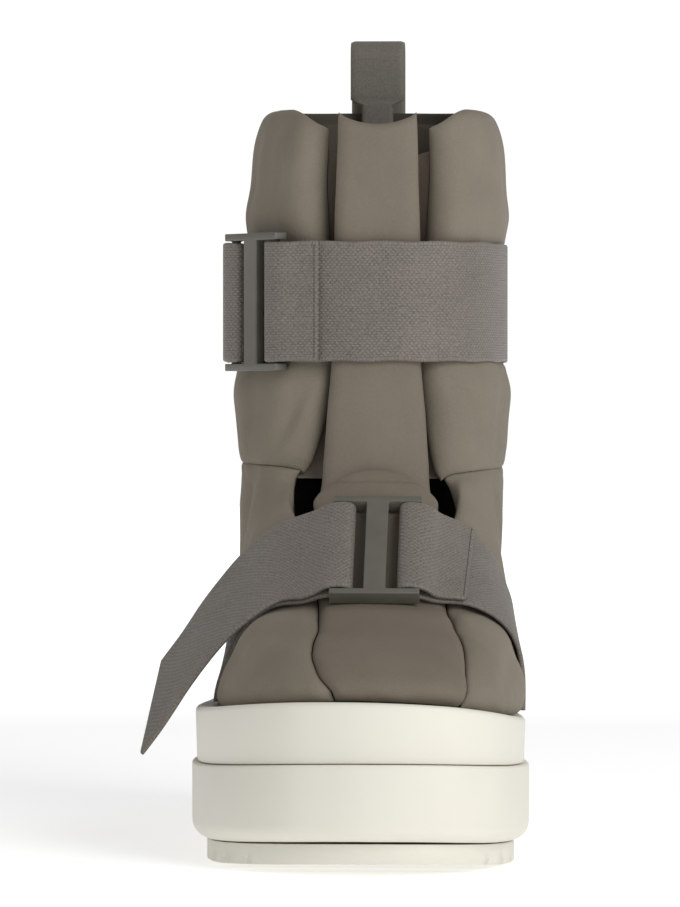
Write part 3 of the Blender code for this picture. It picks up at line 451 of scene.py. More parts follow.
# %% Fine surface between the rings
def spline_weights(t):
    """Weights of four neighbours for a smooth curve through the middle two."""
    return [
        (-t + 2 * t ** 2 - t ** 3) / 2,
        (2 - 5 * t ** 2 + 3 * t ** 3) / 2,
        (t + 4 * t ** 2 - 3 * t ** 3) / 2,
        (-t ** 2 + t ** 3) / 2,
    ]


def surface_at(grid, ks, js):
    """Points at ring places ks and column places js; both are tables of the same size."""
    last = len(grid) - 1
    k0 = np.clip(np.floor(ks).astype(int), 0, last - 1)
    j0 = np.floor(js).astype(int)
    across = spline_weights(ks - k0)
    around = spline_weights(js - j0)
    points = 0.0
    for a in range(4):
        rows = np.clip(k0 - 1 + a, 0, last)
        for b in range(4):
            weight = (across[a] * around[b])[..., None]
            points = points + grid[rows, (j0 - 1 + b) % COLUMNS] * weight
    return points


def grid_normals(points):
    """Outward normals of a fine grid with rows going up and columns going from outer to inner side."""
    along = np.gradient(points, axis=1)
    up = np.gradient(points, axis=0)
    normal = np.cross(along, up)
    length = np.linalg.norm(normal, axis=2)[..., None]
    return normal / np.maximum(length, 1e-12)


def eased_places(count, pull=0.45):
    """Places from 0 to 1 that lie closer together near both ends."""
    t = np.linspace(0.0, 1.0, count)
    return (1 - pull) * t + pull * (1 - np.cos(math.pi * t)) / 2


def travelled(points, axis):
    """Length along the rows or columns of a grid, from its first place."""
    steps = np.linalg.norm(np.diff(points, axis=axis), axis=2)
    start = np.zeros_like(np.take(steps, [0], axis=axis))
    return np.concatenate([start, np.cumsum(steps, axis=axis)], axis=axis)

# %% [markdown]
# Every piece ends the same way: a mesh at the origin, closed, with outward faces, a finish for each
# face, and its place in the frame.

# %% Finishing a piece
def new_mesh(name, verts, faces, finishes, finish_of_face=None, places=None):
    """Object from points and faces; places holds a pair of lengths for each point, as its map."""
    mesh = bpy.data.meshes.new(name)
    mesh.from_pydata([tuple(map(float, v)) for v in verts], [], [tuple(map(int, f)) for f in faces])
    for finish in finishes:
        mesh.materials.append(finish)
    if finish_of_face is not None:
        mesh.polygons.foreach_set("material_index", np.array(finish_of_face, dtype=np.int32))
    if places is not None:
        layer = mesh.uv_layers.new(name="lengths")
        corner = np.array([loop.vertex_index for loop in mesh.loops])
        layer.data.foreach_set("uv", np.array(places, dtype=np.float32)[corner].ravel())
    shape = bmesh.new()
    shape.from_mesh(mesh)
    bmesh.ops.remove_doubles(shape, verts=shape.verts, dist=2e-6)
    bmesh.ops.dissolve_degenerate(shape, edges=shape.edges, dist=1e-7)
    if shape.calc_volume(signed=True) < 0:
        bmesh.ops.reverse_faces(shape, faces=shape.faces)
    for face in shape.faces:
        face.smooth = True
    shape.to_mesh(mesh)
    shape.free()
    piece = bpy.data.objects.new(name, mesh)
    bpy.context.scene.collection.objects.link(piece)
    return piece


def pillow_mesh(name, outer, inner, finishes):
    """Two skins on the same grid, joined round their border; a second finish is the inner skin's."""
    rows, cells = outer.shape[:2]
    shift = rows * cells
    faces = []
    finish = []
    for i in range(rows - 1):
        for j in range(cells - 1):
            a = i * cells + j
            b = a + shift
            faces.append((a, a + 1, a + 1 + cells, a + cells))
            faces.append((b, b + cells, b + 1 + cells, b + 1))
            finish += [0, 1]
    border = list(range(cells)) + [i * cells + cells - 1 for i in range(1, rows)]
    border += [(rows - 1) * cells + j for j in range(cells - 2, -1, -1)]
    border += [i * cells for i in range(rows - 2, 0, -1)]
    for a, b in zip(border, border[1:] + border[:1]):
        faces.append((b, a, a + shift, b + shift))
        finish.append(0)
    verts = np.concatenate([outer.reshape(-1, 3), inner.reshape(-1, 3)])
    return new_mesh(name, verts, faces, finishes, finish if len(finishes) > 1 else None)


def tube_faces(count, ring):
    """Faces of a tube with closed ends: count sections of ring points each."""
    faces = []
    for i in range(count - 1):
        for k in range(ring):
            a = i * ring + k
            b = i * ring + (k + 1) % ring
            faces.append((a, b, b + ring, a + ring))
    faces.append(tuple(range(ring))[::-1])
    faces.append(tuple(range((count - 1) * ring, count * ring)))
    return faces


def fit_piece(piece, nodes):
    """The piece takes the place of its solids in the frame."""
    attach(piece, "root")
    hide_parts(*nodes)
    triangles = sum(len(face.vertices) - 2 for face in piece.data.polygons)
    print("made", piece.name, "with", triangles, "triangles")
    return piece


def deselect():
    for thing in bpy.context.selected_objects:
        thing.select_set(False)


def hold(thing):
    """Makes one object the selected and active one."""
    deselect()
    thing.select_set(True)
    bpy.context.view_layer.objects.active = thing

# %% [markdown]
# ## Finishes
#
# Cloth, webbing, paint and rubber share a few effects: a fine grain and a slow change of tone, and the
# rubber has dust low down. The grain and the tone come from one node group with named inputs, used with
# other values in each finish.

# %% Helpers for nodes
def new_group(name, inputs, outputs):
    """An empty node group; an input without a value is a vector."""
    group = bpy.data.node_groups.new(name, "ShaderNodeTree")
    for label, value in inputs:
        kind = "NodeSocketVector" if value is None else "NodeSocketFloat"
        socket = group.interface.new_socket(name=label, in_out="INPUT", socket_type=kind)
        if value is not None:
            socket.default_value = value
    for label in outputs:
        group.interface.new_socket(name=label, in_out="OUTPUT", socket_type="NodeSocketFloat")
    return group, group.nodes.new("NodeGroupInput"), group.nodes.new("NodeGroupOutput")


def calculate(tree, how, a, b=None, c=None):
    """One maths node; each of a, b and c is a socket or a number."""
    node = tree.nodes.new("ShaderNodeMath")
    node.operation = how
    for place, value in enumerate((a, b, c)):
        if value is None:
            continue
        if isinstance(value, (int, float)):
            node.inputs[place].default_value = value
        else:
            tree.links.new(value, node.inputs[place])
    return node.outputs[0]

# %% [markdown]
# Cloth grain: soft fuzz at about a millimetre, over cloudy patches a few centimetres wide.

# %% Group for the cloth's grain
def make_cloth_grain():
    group, given, out = new_group(
        "cloth grain", [("Place", None), ("Fuzz scale", 900.0), ("Cloud scale", 22.0)], ["Fuzz", "Cloud"]
    )
    for scale, label, detail in (("Fuzz scale", "Fuzz", 2.0), ("Cloud scale", "Cloud", 3.0)):
        cloud = group.nodes.new("ShaderNodeTexNoise")
        cloud.inputs["Detail"].default_value = detail
        group.links.new(given.outputs["Place"], cloud.inputs["Vector"])
        group.links.new(given.outputs[scale], cloud.inputs["Scale"])
        group.links.new(cloud.outputs["Fac"], out.inputs[label])
    return group


CLOTH_GRAIN = make_cloth_grain()

# %% [markdown]
# Webbing is woven in short ribs set like bricks, each a little raised, with a thicker braid along both
# edges. The map of a strap holds real lengths, so the weave keeps its scale round every bend.

# %% Group for the weave of the webbing
def make_weave():
    group, given, out = new_group(
        "webbing weave",
        [("Map", None), ("Rib length", 0.0024), ("Rib width", 0.00115), ("Half width", 0.025)],
        ["Height", "Selvedge"],
    )
    split = group.nodes.new("ShaderNodeSeparateXYZ")
    group.links.new(given.outputs["Map"], split.inputs[0])
    along = calculate(group, "DIVIDE", split.outputs[0], given.outputs["Rib length"])
    across = calculate(group, "DIVIDE", split.outputs[1], given.outputs["Rib width"])
    row = calculate(group, "FLOOR", across)
    shift = calculate(group, "MULTIPLY", row, 0.5)
    rib = calculate(group, "ADD", along, shift)
    rib = calculate(group, "MULTIPLY", rib, math.pi)
    rib = calculate(group, "ABSOLUTE", calculate(group, "SINE", rib))
    bank = calculate(group, "MULTIPLY", across, math.pi)
    bank = calculate(group, "ABSOLUTE", calculate(group, "SINE", bank))
    weave = calculate(group, "MULTIPLY", rib, calculate(group, "POWER", bank, 0.6))
    edge = calculate(group, "ABSOLUTE", split.outputs[1])
    edge = calculate(group, "DIVIDE", edge, given.outputs["Half width"])
    selvedge = calculate(group, "GREATER_THAN", edge, 0.93)
    braid = calculate(group, "MULTIPLY", split.outputs[0], math.pi / 0.0013)
    braid = calculate(group, "ABSOLUTE", calculate(group, "SINE", braid))
    braid = calculate(group, "MULTIPLY_ADD", braid, 0.45, 0.25)
    plain = calculate(group, "SUBTRACT", 1.0, selvedge)
    height = calculate(group, "MULTIPLY", weave, plain)
    height = calculate(group, "MULTIPLY_ADD", braid, selvedge, height)
    group.links.new(height, out.inputs["Height"])
    group.links.new(selvedge, out.inputs["Selvedge"])
    return group


WEAVE = make_weave()

# %% Small helpers that every finish uses
def new_finish(name, roughness, sheen=0.0, coat=0.0):
    """A material and its shader, with the few values that differ between finishes."""
    made = bpy.data.materials.new(name)
    made.use_nodes = True
    shader = made.node_tree.nodes["Principled BSDF"]
    shader.inputs["Roughness"].default_value = roughness
    shader.inputs["Metallic"].default_value = 0.0
    shader.inputs["Sheen Weight"].default_value = sheen
    shader.inputs["Sheen Roughness"].default_value = 0.45
    shader.inputs["Coat Weight"].default_value = coat
    shader.inputs["Coat Roughness"].default_value = 0.25
    return made, made.node_tree, shader


def place_group(tree, group, values):
    node = tree.nodes.new("ShaderNodeGroup")
    node.node_tree = group
    for label, value in values.items():
        if isinstance(value, (int, float)):
            node.inputs[label].default_value = value
        else:
            tree.links.new(value, node.inputs[label])
    return node


def place_grain(tree, fuzz, cloud):
    """The point's own place on the boot, and the cloth grain read there."""
    place = tree.nodes.new("ShaderNodeTexCoord").outputs["Object"]
    grain = place_group(tree, CLOTH_GRAIN, {"Place": place, "Fuzz scale": fuzz, "Cloud scale": cloud})
    return place, grain.outputs["Fuzz"], grain.outputs["Cloud"]


def vary_roughness(tree, shader, value, gain, base):
    tree.links.new(calculate(tree, "MULTIPLY_ADD", value, gain, base), shader.inputs["Roughness"])


def mix_colours(tree, share, low, high):
    node = tree.nodes.new("ShaderNodeMix")
    node.data_type = "RGBA"
    tree.links.new(share, node.inputs["Factor"])
    for label, value in (("A", low), ("B", high)):
        socket = [s for s in node.inputs if s.name == label and s.type == "RGBA"][0]
        if isinstance(value, tuple):
            socket.default_value = (*value, 1.0)
        else:
            tree.links.new(value, socket)
    return [s for s in node.outputs if s.type == "RGBA"][0]


def add_bump(tree, shader, height, distance, strength=1.0, under=None):
    node = tree.nodes.new("ShaderNodeBump")
    node.inputs["Strength"].default_value = strength
    node.inputs["Distance"].default_value = distance
    tree.links.new(height, node.inputs["Height"])
    if under is not None:
        tree.links.new(under, node.inputs["Normal"])
    tree.links.new(node.outputs["Normal"], shader.inputs["Normal"])
    return node.outputs["Normal"]

# %% [markdown]
# Padded cloth: matte and tight, taupe grey, with a trace of sheen at grazing angles. The toe panel and
# the tongue are the same cloth in a browner dye, and the lining is a dark knit.

# %% Padded cloth finishes
def cloth_finish(name, dark, light, sheen, fuzz=0.00010):
    made, tree, shader = new_finish(name, 0.86, sheen=sheen)
    shader.inputs["Sheen Tint"].default_value = (0.62, 0.58, 0.52, 1.0)
    shader.inputs["Specular IOR Level"].default_value = 0.28
    _, fleck, cloud = place_grain(tree, 1100.0, 26.0)
    tone = calculate(tree, "ADD", cloud, calculate(tree, "MULTIPLY_ADD", fleck, 0.55, -0.28))
    tree.links.new(mix_colours(tree, tone, dark, light), shader.inputs["Base Color"])
    vary_roughness(tree, shader, fleck, 0.10, 0.80)
    add_bump(tree, shader, fleck, fuzz, 0.8)
    return made


PADDED = cloth_finish("padded_cloth", (0.150, 0.129, 0.099), (0.232, 0.202, 0.158), 0.08)
TOE_CLOTH = cloth_finish("toe_cloth", (0.132, 0.109, 0.083), (0.192, 0.162, 0.126), 0.06)
TONGUE_CLOTH = cloth_finish("tongue_cloth", (0.140, 0.119, 0.092), (0.212, 0.182, 0.143), 0.06)
LINING = cloth_finish("lining_knit", (0.044, 0.037, 0.028), (0.080, 0.068, 0.052), 0.04, 0.0002)
BOARD = cloth_finish("insole_board", (0.040, 0.035, 0.030), (0.070, 0.061, 0.052), 0.05)

# %% [markdown]
# Webbing: a satin thread whose colour follows the height of the weave, as painted shade in the gaps
# between ribs and a painted highlight on their tops. A long cloudy noise keeps the rows from looking
# printed.

# %% Webbing and tape finishes
def webbing_finish(name, gap_shade_colour, thread, rib, row, half, depth):
    made, tree, shader = new_finish(name, 0.58, sheen=0.12)
    shader.inputs["Specular IOR Level"].default_value = 0.42
    lengths = tree.nodes.new("ShaderNodeUVMap")
    lengths.uv_map = "lengths"
    weave = place_group(tree, WEAVE, {
        "Map": lengths.outputs[0], "Rib length": rib, "Rib width": row, "Half width": half,
    })
    _, fleck, cloud = place_grain(tree, 1150.0, 60.0)
    height = weave.outputs["Height"]
    # Painted shade and highlight: the weave's height darkens the gaps and lightens the ribs; fleck and
    # cloud add the cloth's own tone
    tone = calculate(tree, "MULTIPLY", height, 0.42)
    tone = calculate(tree, "MULTIPLY_ADD", fleck, 1.25, tone)
    tone = calculate(tree, "MULTIPLY_ADD", cloud, 0.30, tone)
    tone = calculate(tree, "SUBTRACT", tone, 0.53)
    tree.links.new(mix_colours(tree, tone, gap_shade_colour, thread), shader.inputs["Base Color"])
    vary_roughness(tree, shader, height, -0.16, 0.66)
    add_bump(tree, shader, calculate(tree, "MULTIPLY_ADD", fleck, 0.4, height), depth)
    return made


WEBBING = webbing_finish(
    "webbing", (0.092, 0.080, 0.069), (0.228, 0.203, 0.174),
    rib=0.0019, row=0.00105, half=WEBBING_WIDTH / 2, depth=0.00020,
)
TAPE = webbing_finish(
    "loop_tape", (0.100, 0.089, 0.073), (0.165, 0.148, 0.124),
    rib=0.0009, row=0.0006, half=0.0118, depth=0.00006,
)

# %% [markdown]
# The buckles are cast and painted a grey green satin. Paint gathers a faint orange peel, and the rubber
# of the sole is an off white with a soft sheen and a little dust low down.

# %% Paint, rubber and thread finishes
def paint_finish():
    made, tree, shader = new_finish("painted_buckle", 0.42, coat=0.25)
    _, fleck, cloud = place_grain(tree, 1400.0, 120.0)
    colour = mix_colours(tree, cloud, (0.082, 0.079, 0.062), (0.118, 0.113, 0.092))
    tree.links.new(colour, shader.inputs["Base Color"])
    vary_roughness(tree, shader, cloud, 0.14, 0.36)
    add_bump(tree, shader, fleck, 0.00004, 0.7)
    return made


def rubber_finish():
    dust_height = 0.016
    made, tree, shader = new_finish("pale_rubber", 0.55)
    place, fleck, cloud = place_grain(tree, 700.0, 14.0)
    clean = mix_colours(tree, cloud, (0.680, 0.662, 0.578), (0.752, 0.734, 0.650))
    low = tree.nodes.new("ShaderNodeSeparateXYZ")
    tree.links.new(place, low.inputs[0])
    dust = calculate(tree, "MULTIPLY_ADD", low.outputs[2], -1.0 / dust_height, 1.0)
    dust = calculate(tree, "MAXIMUM", dust, 0.0)
    dust = calculate(tree, "MULTIPLY", dust, cloud)
    dust = calculate(tree, "MULTIPLY", dust, 0.5)
    tree.links.new(mix_colours(tree, dust, clean, (0.52, 0.49, 0.42)), shader.inputs["Base Color"])
    vary_roughness(tree, shader, fleck, 0.12, 0.48)
    add_bump(tree, shader, fleck, 0.00006, 0.6)
    return made


PAINTED = paint_finish()
RUBBER = rubber_finish()
# Stitch thread: real stitches, coloured dark as painted shade of their needle holes
SHADED_STITCH_THREAD = cloth_finish("thread", (0.060, 0.052, 0.044), (0.100, 0.088, 0.075), 0.10)
print("finishes:", len(bpy.data.materials))

# %% [markdown]
# ## Straps' paths
#
# A strap lies on the padded upper as a taut band. Rays from the ankle's middle find how far the solids
# reach, and a hull round those places is the path of the webbing.

# %% Path round the shaft and over the instep
def solid_tree(things):
    """One search tree of the faces of several solids."""
    verts = []
    faces = []
    for thing in things:
        shift = len(verts)
        verts += [v.co.copy() for v in thing.data.vertices]
        faces += [[shift + i for i in face.vertices] for face in thing.data.polygons]
    return BVHTree.FromPolygons(verts, faces)


BODY_TREE = solid_tree([NODES["upper"], NODES["tongue"]])
REACH = 0.30
FLAT_REACH = BUCKLE_LENGTH / 2 + 0.002
STRAP_ROWS = (-1.0, -0.5, 0.0, 0.5, 1.0)


def outer_radius(origin, direction):
    """Distance from an inner point to the outermost surface in a direction."""
    origin = Vector(origin)
    direction = Vector(direction)
    hit = BODY_TREE.ray_cast(origin + direction * REACH, -direction, REACH)[0]
    return (hit - origin).length if hit is not None else 0.0


def convex_hull(points):
    """Hull of points in a plane, anticlockwise."""
    points = sorted(map(tuple, points))

    def half(order):
        chain = []
        for p in order:
            while len(chain) > 1:
                (ax, ay), (bx, by) = chain[-2], chain[-1]
                if (bx - ax) * (p[1] - ay) - (by - ay) * (p[0] - ax) > 0:
                    break
                chain.pop()
            chain.append(p)
        return chain[:-1]

    return np.array(half(points) + half(points[::-1]))


def unit(vector):
    vector = np.array(vector, dtype=float)
    return vector / np.linalg.norm(vector)


def ankle_base():
    """Closed taut path round the shaft, starting at the buckle's centre."""
    half = WEBBING_WIDTH / 2
    centre_y = SHAFT_DEPTH / 2
    points = []
    for step in range(120):
        angle = math.radians(step * 3)
        direction = (math.cos(angle), math.sin(angle), 0.0)
        radius = max(
            outer_radius((0.0, centre_y, ANKLE_STRAP_HEIGHT + half * row), direction)
            for row in STRAP_ROWS
        )
        radius += GAP + STRAP_EASE
        points.append((radius * direction[0], centre_y + radius * direction[1]))
    turn = math.radians(ANKLE_BUCKLE_TURN)
    out = np.array([-math.sin(turn), -math.cos(turn)])
    along = np.array([-out[1], out[0]])
    distance = max(float(np.dot(p, out)) for p in points) + GAP
    slide = (ANKLE_BUCKLE_X - distance * out[0]) / along[0]
    centre = out * distance + along * slide
    seat_ends = (centre - along * FLAT_REACH, centre + along * FLAT_REACH)
    hull = convex_hull(points + [tuple(end) for end in seat_ends])
    start = min(range(len(hull)), key=lambda i: float(np.linalg.norm(hull[i] - seat_ends[1])))
    line = np.concatenate([[centre], np.roll(hull, -start, axis=0), [centre]])
    return line, length_along(line)


ANKLE_LINE, ANKLE_TRAVEL = ankle_base()
ANKLE_GIRTH = float(ANKLE_TRAVEL[-1])


print("girth of the ankle strap:", round(ANKLE_GIRTH * 1000), "mm")


def ankle_point(s):
    s = s % ANKLE_GIRTH
    return read_line(ANKLE_LINE, ANKLE_TRAVEL, s)


def ankle_frame(s, _height):
    """Lower edge, upper edge and outward direction at a place along the ankle strap."""
    ease = 0.0025
    tangent = unit(ankle_point(s + ease) - ankle_point(s - ease))
    point = (ankle_point(s + ease) + ankle_point(s - ease)) / 2
    half = WEBBING_WIDTH / 2
    low = np.array([point[0], point[1], ANKLE_STRAP_HEIGHT - half])
    high = np.array([point[0], point[1], ANKLE_STRAP_HEIGHT + half])
    return low, high, np.array([tangent[1], -tangent[0], 0.0])

# %% [markdown]
# The instep strap crosses the foot on a slant. It is found in cuts, each turned a little further about
# the buckle's place, and a hull round the cuts keeps it taut. Below the last cut the strap runs
# straight down to the sole.

# %% Path over the instep
LAST_CUT = 106.0


def smooth_step(value):
    """Rises from 0 to 1 with soft ends."""
    value = min(max(value, 0.0), 1.0)
    return value * value * (3.0 - 2.0 * value)


def instep_station(angle):
    """Origin, width direction and outward direction of one cut through the instep."""
    share = smooth_step((abs(angle) - 25.0) / 55.0)
    slope = math.radians(INSTEP_SLOPE + (SIDE_SLOPE - INSTEP_SLOPE) * share)
    width = np.array([0.0, math.cos(slope), math.sin(slope)])
    up = np.array([0.0, -math.sin(slope), math.cos(slope)])
    turn = math.radians(angle)
    out = up * math.cos(turn) + np.array([math.sin(turn), 0.0, 0.0])
    origin = np.array([
        INSTEP_BUCKLE_X,
        INSTEP_AXIS_Y + (SIDE_AXIS_Y - INSTEP_AXIS_Y) * share,
        INSTEP_AXIS_Z,
    ])
    return origin, width, out


def hold_below(radii, angles):
    """Straight sides below the last angle whose cut still meets the upper's side."""
    held = radii.copy()
    for sign in (-1, 1):
        last = np.flatnonzero(angles == sign * LAST_CUT)[0]
        keep = abs(math.sin(math.radians(angles[last])))
        for i, angle in enumerate(angles):
            if sign * angle > LAST_CUT:
                held[i] = radii[last] * keep / abs(math.sin(math.radians(angle)))
    return held


def taut_radii(radius, turns):
    """Radii of a hull round one edge's cuts, with a flat seat under the buckle."""
    near = np.abs(turns) < math.radians(24.0)
    seat = float((radius[near] * np.cos(turns[near])).max())
    points = [(r * math.sin(t), r * math.cos(t)) for r, t in zip(radius, turns)]
    hull = convex_hull(points + [(-FLAT_REACH, seat), (FLAT_REACH, seat)])
    ends = np.roll(hull, -1, axis=0)
    taut = []
    for turn in turns:
        ray = np.array([math.sin(turn), math.cos(turn)])
        best = 0.0
        for a, b in zip(hull, ends):
            side = b - a
            cross = ray[0] * side[1] - ray[1] * side[0]
            if abs(cross) < 1e-12:
                continue
            reach = (a[0] * side[1] - a[1] * side[0]) / cross
            place = (a[0] * ray[1] - a[1] * ray[0]) / cross
            if reach > 0 and -1e-9 <= place <= 1 + 1e-9:
                best = max(best, reach)
        taut.append(best)
    return taut


def instep_edges():
    """Front and back edge of the strap as points from the outer to the inner side."""
    half = WEBBING_WIDTH / 2
    angles = np.arange(-118.0, 118.1, 4.0)
    rows = np.array(STRAP_ROWS)
    radii = []
    for angle in angles:
        origin, width, out = instep_station(angle)
        hits = np.array([outer_radius(origin + width * half * row, out) for row in rows])
        line = hits[0] + (hits[-1] - hits[0]) * (rows + 1) / 2
        lift = max(0.0, float((hits - line).max()))
        radii.append((hits[0] + lift + GAP + STRAP_EASE, hits[-1] + lift + GAP + STRAP_EASE))
    radii = hold_below(np.array(radii), angles)
    edges = []
    for column, row in ((0, -1.0), (1, 1.0)):
        points = []
        for angle, radius in zip(angles, taut_radii(radii[:, column], np.radians(angles))):
            origin, width, out = instep_station(angle)
            points.append(origin + width * half * row + out * radius)
        edges.append(np.array(points))
    return edges


def cut_at_sole(points):
    """Part of an edge from the buckle's centre down to the sole's top."""
    kept = [points[0]]
    for point in points[1:]:
        before = kept[-1]
        floor_before = float(midsole_top(before[0], before[1])) + GAP + STRAP_FOOT
        floor_here = float(midsole_top(point[0], point[1])) + GAP + STRAP_FOOT
        if point[2] < floor_here:
            share = (before[2] - floor_before) / ((before[2] - floor_before) - (point[2] - floor_here))
            kept.append(before + (point - before) * share)
            break
        kept.append(point)
    return np.array(kept)


def side_edges(edges, side):
    """Both edges of one side, each with its travelled length."""
    result = []
    for edge in edges:
        middle = len(edge) // 2
        points = edge[middle:] if side > 0 else edge[:middle + 1][::-1]
        points = cut_at_sole(points)
        result.append((points, length_along(points)))
    return result


INSTEP_EDGES = instep_edges()
INSTEP_SIDES = {side: side_edges(INSTEP_EDGES, side) for side in (-1, 1)}


def instep_length(side):
    return sum(travel[-1] for _, travel in INSTEP_SIDES[side]) / 2


print("instep strap:", [round(instep_length(side) * 1000) for side in (-1, 1)], "mm to each side")


def edge_point(side, which, s):
    """Point on an edge: equal steps at the buckle, then stretched to the edge's end."""
    points, lengths = INSTEP_SIDES[side][which]
    if s > FLAT_REACH:
        stretch = (lengths[-1] - FLAT_REACH) / (instep_length(side) - FLAT_REACH)
        s = FLAT_REACH + (s - FLAT_REACH) * stretch
    return read_line(points, lengths, s)


def instep_points(s):
    side = 1 if s >= 0 else -1
    return edge_point(side, 0, abs(s)), edge_point(side, 1, abs(s))


def instep_frame(s, _height):
    """Front edge, back edge and outward direction at a place along the instep strap."""
    ease = 0.003
    ends = (-instep_length(-1), instep_length(1))
    before = instep_points(max(s - ease, ends[0]))
    after = instep_points(min(s + ease, ends[1]))
    front, back = instep_points(min(max(s, ends[0]), ends[1]))
    tangent = unit((after[0] + after[1]) - (before[0] + before[1]))
    width = unit(back - front)
    out = unit(np.cross(tangent, width))
    if abs(s) < FLAT_REACH - ease:
        front = (before[0] + after[0]) / 2
        back = (before[1] + after[1]) / 2
    return front, back, out

# %% [markdown]
# Past its fold the outer half goes on as a free end that stands off the foot and slowly twists: the drop
# of each edge is charted in the sizes above. A fold is a path too, in lengths along the strap and
# heights above the foot: the sewn layer, the bend round the side bar, and the start of the layer below.

# %% Free end and folds
def upper_layer(height):
    """Whether a height above the foot belongs to the strap's upper layer."""
    return height > UNDER + WEBBING_THICKNESS * 0.6


def tail_frame(s, height):
    """The instep strap's two layers: the upper one leaves the foot as a free end."""
    if s >= -TAIL_START or not upper_layer(height):
        return instep_frame(s, height)
    edges = list(instep_frame(-TAIL_START, height)[:2])
    gone = -TAIL_START - s
    count = 24
    shares = [row[0] for row in TAIL_DROP]
    ahead = np.zeros(3)
    for edge, length in ((0, TAIL_LENGTH + TAIL_SLANT), (1, TAIL_LENGTH)):
        drops = [row[edge + 1] for row in TAIL_DROP]
        for i in range(count):
            share = (i + 0.5) / count * gone / TAIL_LENGTH
            angle = math.radians(float(np.interp(share, shares, drops)))
            ahead = np.array([-math.cos(angle), 0.0, -math.sin(angle)])
            edges[edge] = edges[edge] + ahead * gone * length / TAIL_LENGTH / count
    front, back = edges
    return front, back, unit(np.cross(-ahead, unit(back - front)))


# Heights of the webbing's middle above the foot: under layer, round the bar, sewn layer
UNDER = GAP + WEBBING_THICKNESS / 2
OVER = UNDER + 2 * BEND_RADIUS
LAPPED = UNDER + WEBBING_THICKNESS + LAP_GAP
SIDE_BAR_OUT = BUCKLE_BAR / 2 + BUCKLE_SLOT + BUCKLE_SIDE_BAR
BEND_CENTRE = SIDE_BAR_OUT - BUCKLE_SIDE_BAR + 0.0004


def fold(sign, lap):
    """Outer layer, bend round the side bar and start of the under layer, from the sewn end."""
    path = [
        (lap, LAPPED),
        (lap * 0.5 + SIDE_BAR_OUT * 0.5 + 0.0040, LAPPED),
        (SIDE_BAR_OUT + 0.0075, LAPPED + 0.0002),
        (SIDE_BAR_OUT + 0.0045, (LAPPED + OVER) / 2 + 0.0004),
        (SIDE_BAR_OUT + 0.0012, OVER),
        (BEND_CENTRE, OVER),
    ]
    for step in range(1, 6):
        angle = math.radians(90 + 30 * step)
        path.append((
            BEND_CENTRE + BEND_RADIUS * math.cos(angle),
            UNDER + BEND_RADIUS + BEND_RADIUS * math.sin(angle),
        ))
    path.append((BEND_CENTRE, UNDER))
    path.append((SIDE_BAR_OUT + 0.0015, UNDER))
    return [(sign * s, n) for s, n in path]

# %% [markdown]
# ## Padded upper
#
# The upper is sewn from padded panels: a toe panel in the middle, a side on each flank, and on each
# side of the shaft one tall roll. A panel is a pillow: an outer and an inner skin that meet in a round
# edge wherever a seam or an opening is. Cloth simulation could puff them, but here the ring tables
# already hold the puffed shape, so creases are given one by one: soft troughs and ridges between two
# places on the skin, in the boot's own sizes.

# %% Seam lines and creases
SIDES = ((-1, "outer"), (1, "inner"))
SEAM_BENDS = {
    # ring, column of the seam between the toe panel and the side
    -1: [(0, 3.00), (1, 3.20), (2, 3.75), (3, 4.05), (4, 3.85), (5, 3.35), (6, 3.30), (7, 3.60),
         (8, 3.95), (9, 4.0)],
    1: [(0, 4.00), (2, 4.15), (4, 4.15), (5, 3.75), (6, 3.55), (7, 3.60), (8, 3.90), (9, 4.0)],
}
FRONT_EDGES = {
    # ring, column of the free front edge beside the tongue
    -1: [(8.0, 3.95), (8.5, 4.7), (9.0, 5.5), (9.85, 5.75), (9.86, 5.35), (10.4, 4.85), (11, 4.45),
         (12, 4.1), (13, 4.1), (14, 4.4), (15, 4.75), (16, 5.1)],
    1: [(8.0, 3.90), (8.5, 4.3), (9.0, 4.75), (9.62, 4.9), (9.63, 4.75), (10.3, 4.45), (11, 4.25),
        (12, 4.1), (13, 4.15), (14, 4.45), (15, 4.8), (16, 5.15)],
}
TAB_EDGES = [(0, 9.0), (7.0, 3.60), (8.0, 3.55), (9.0, 3.25)]
FOLD_RING = {-1: 9.85, 1: 9.62}
# Ring where the toe seam ends, and the stretch of rings over which the seam turns into the tab's side
SEAM_END = 8.0
TAB_TURN = (6.8, 7.6)

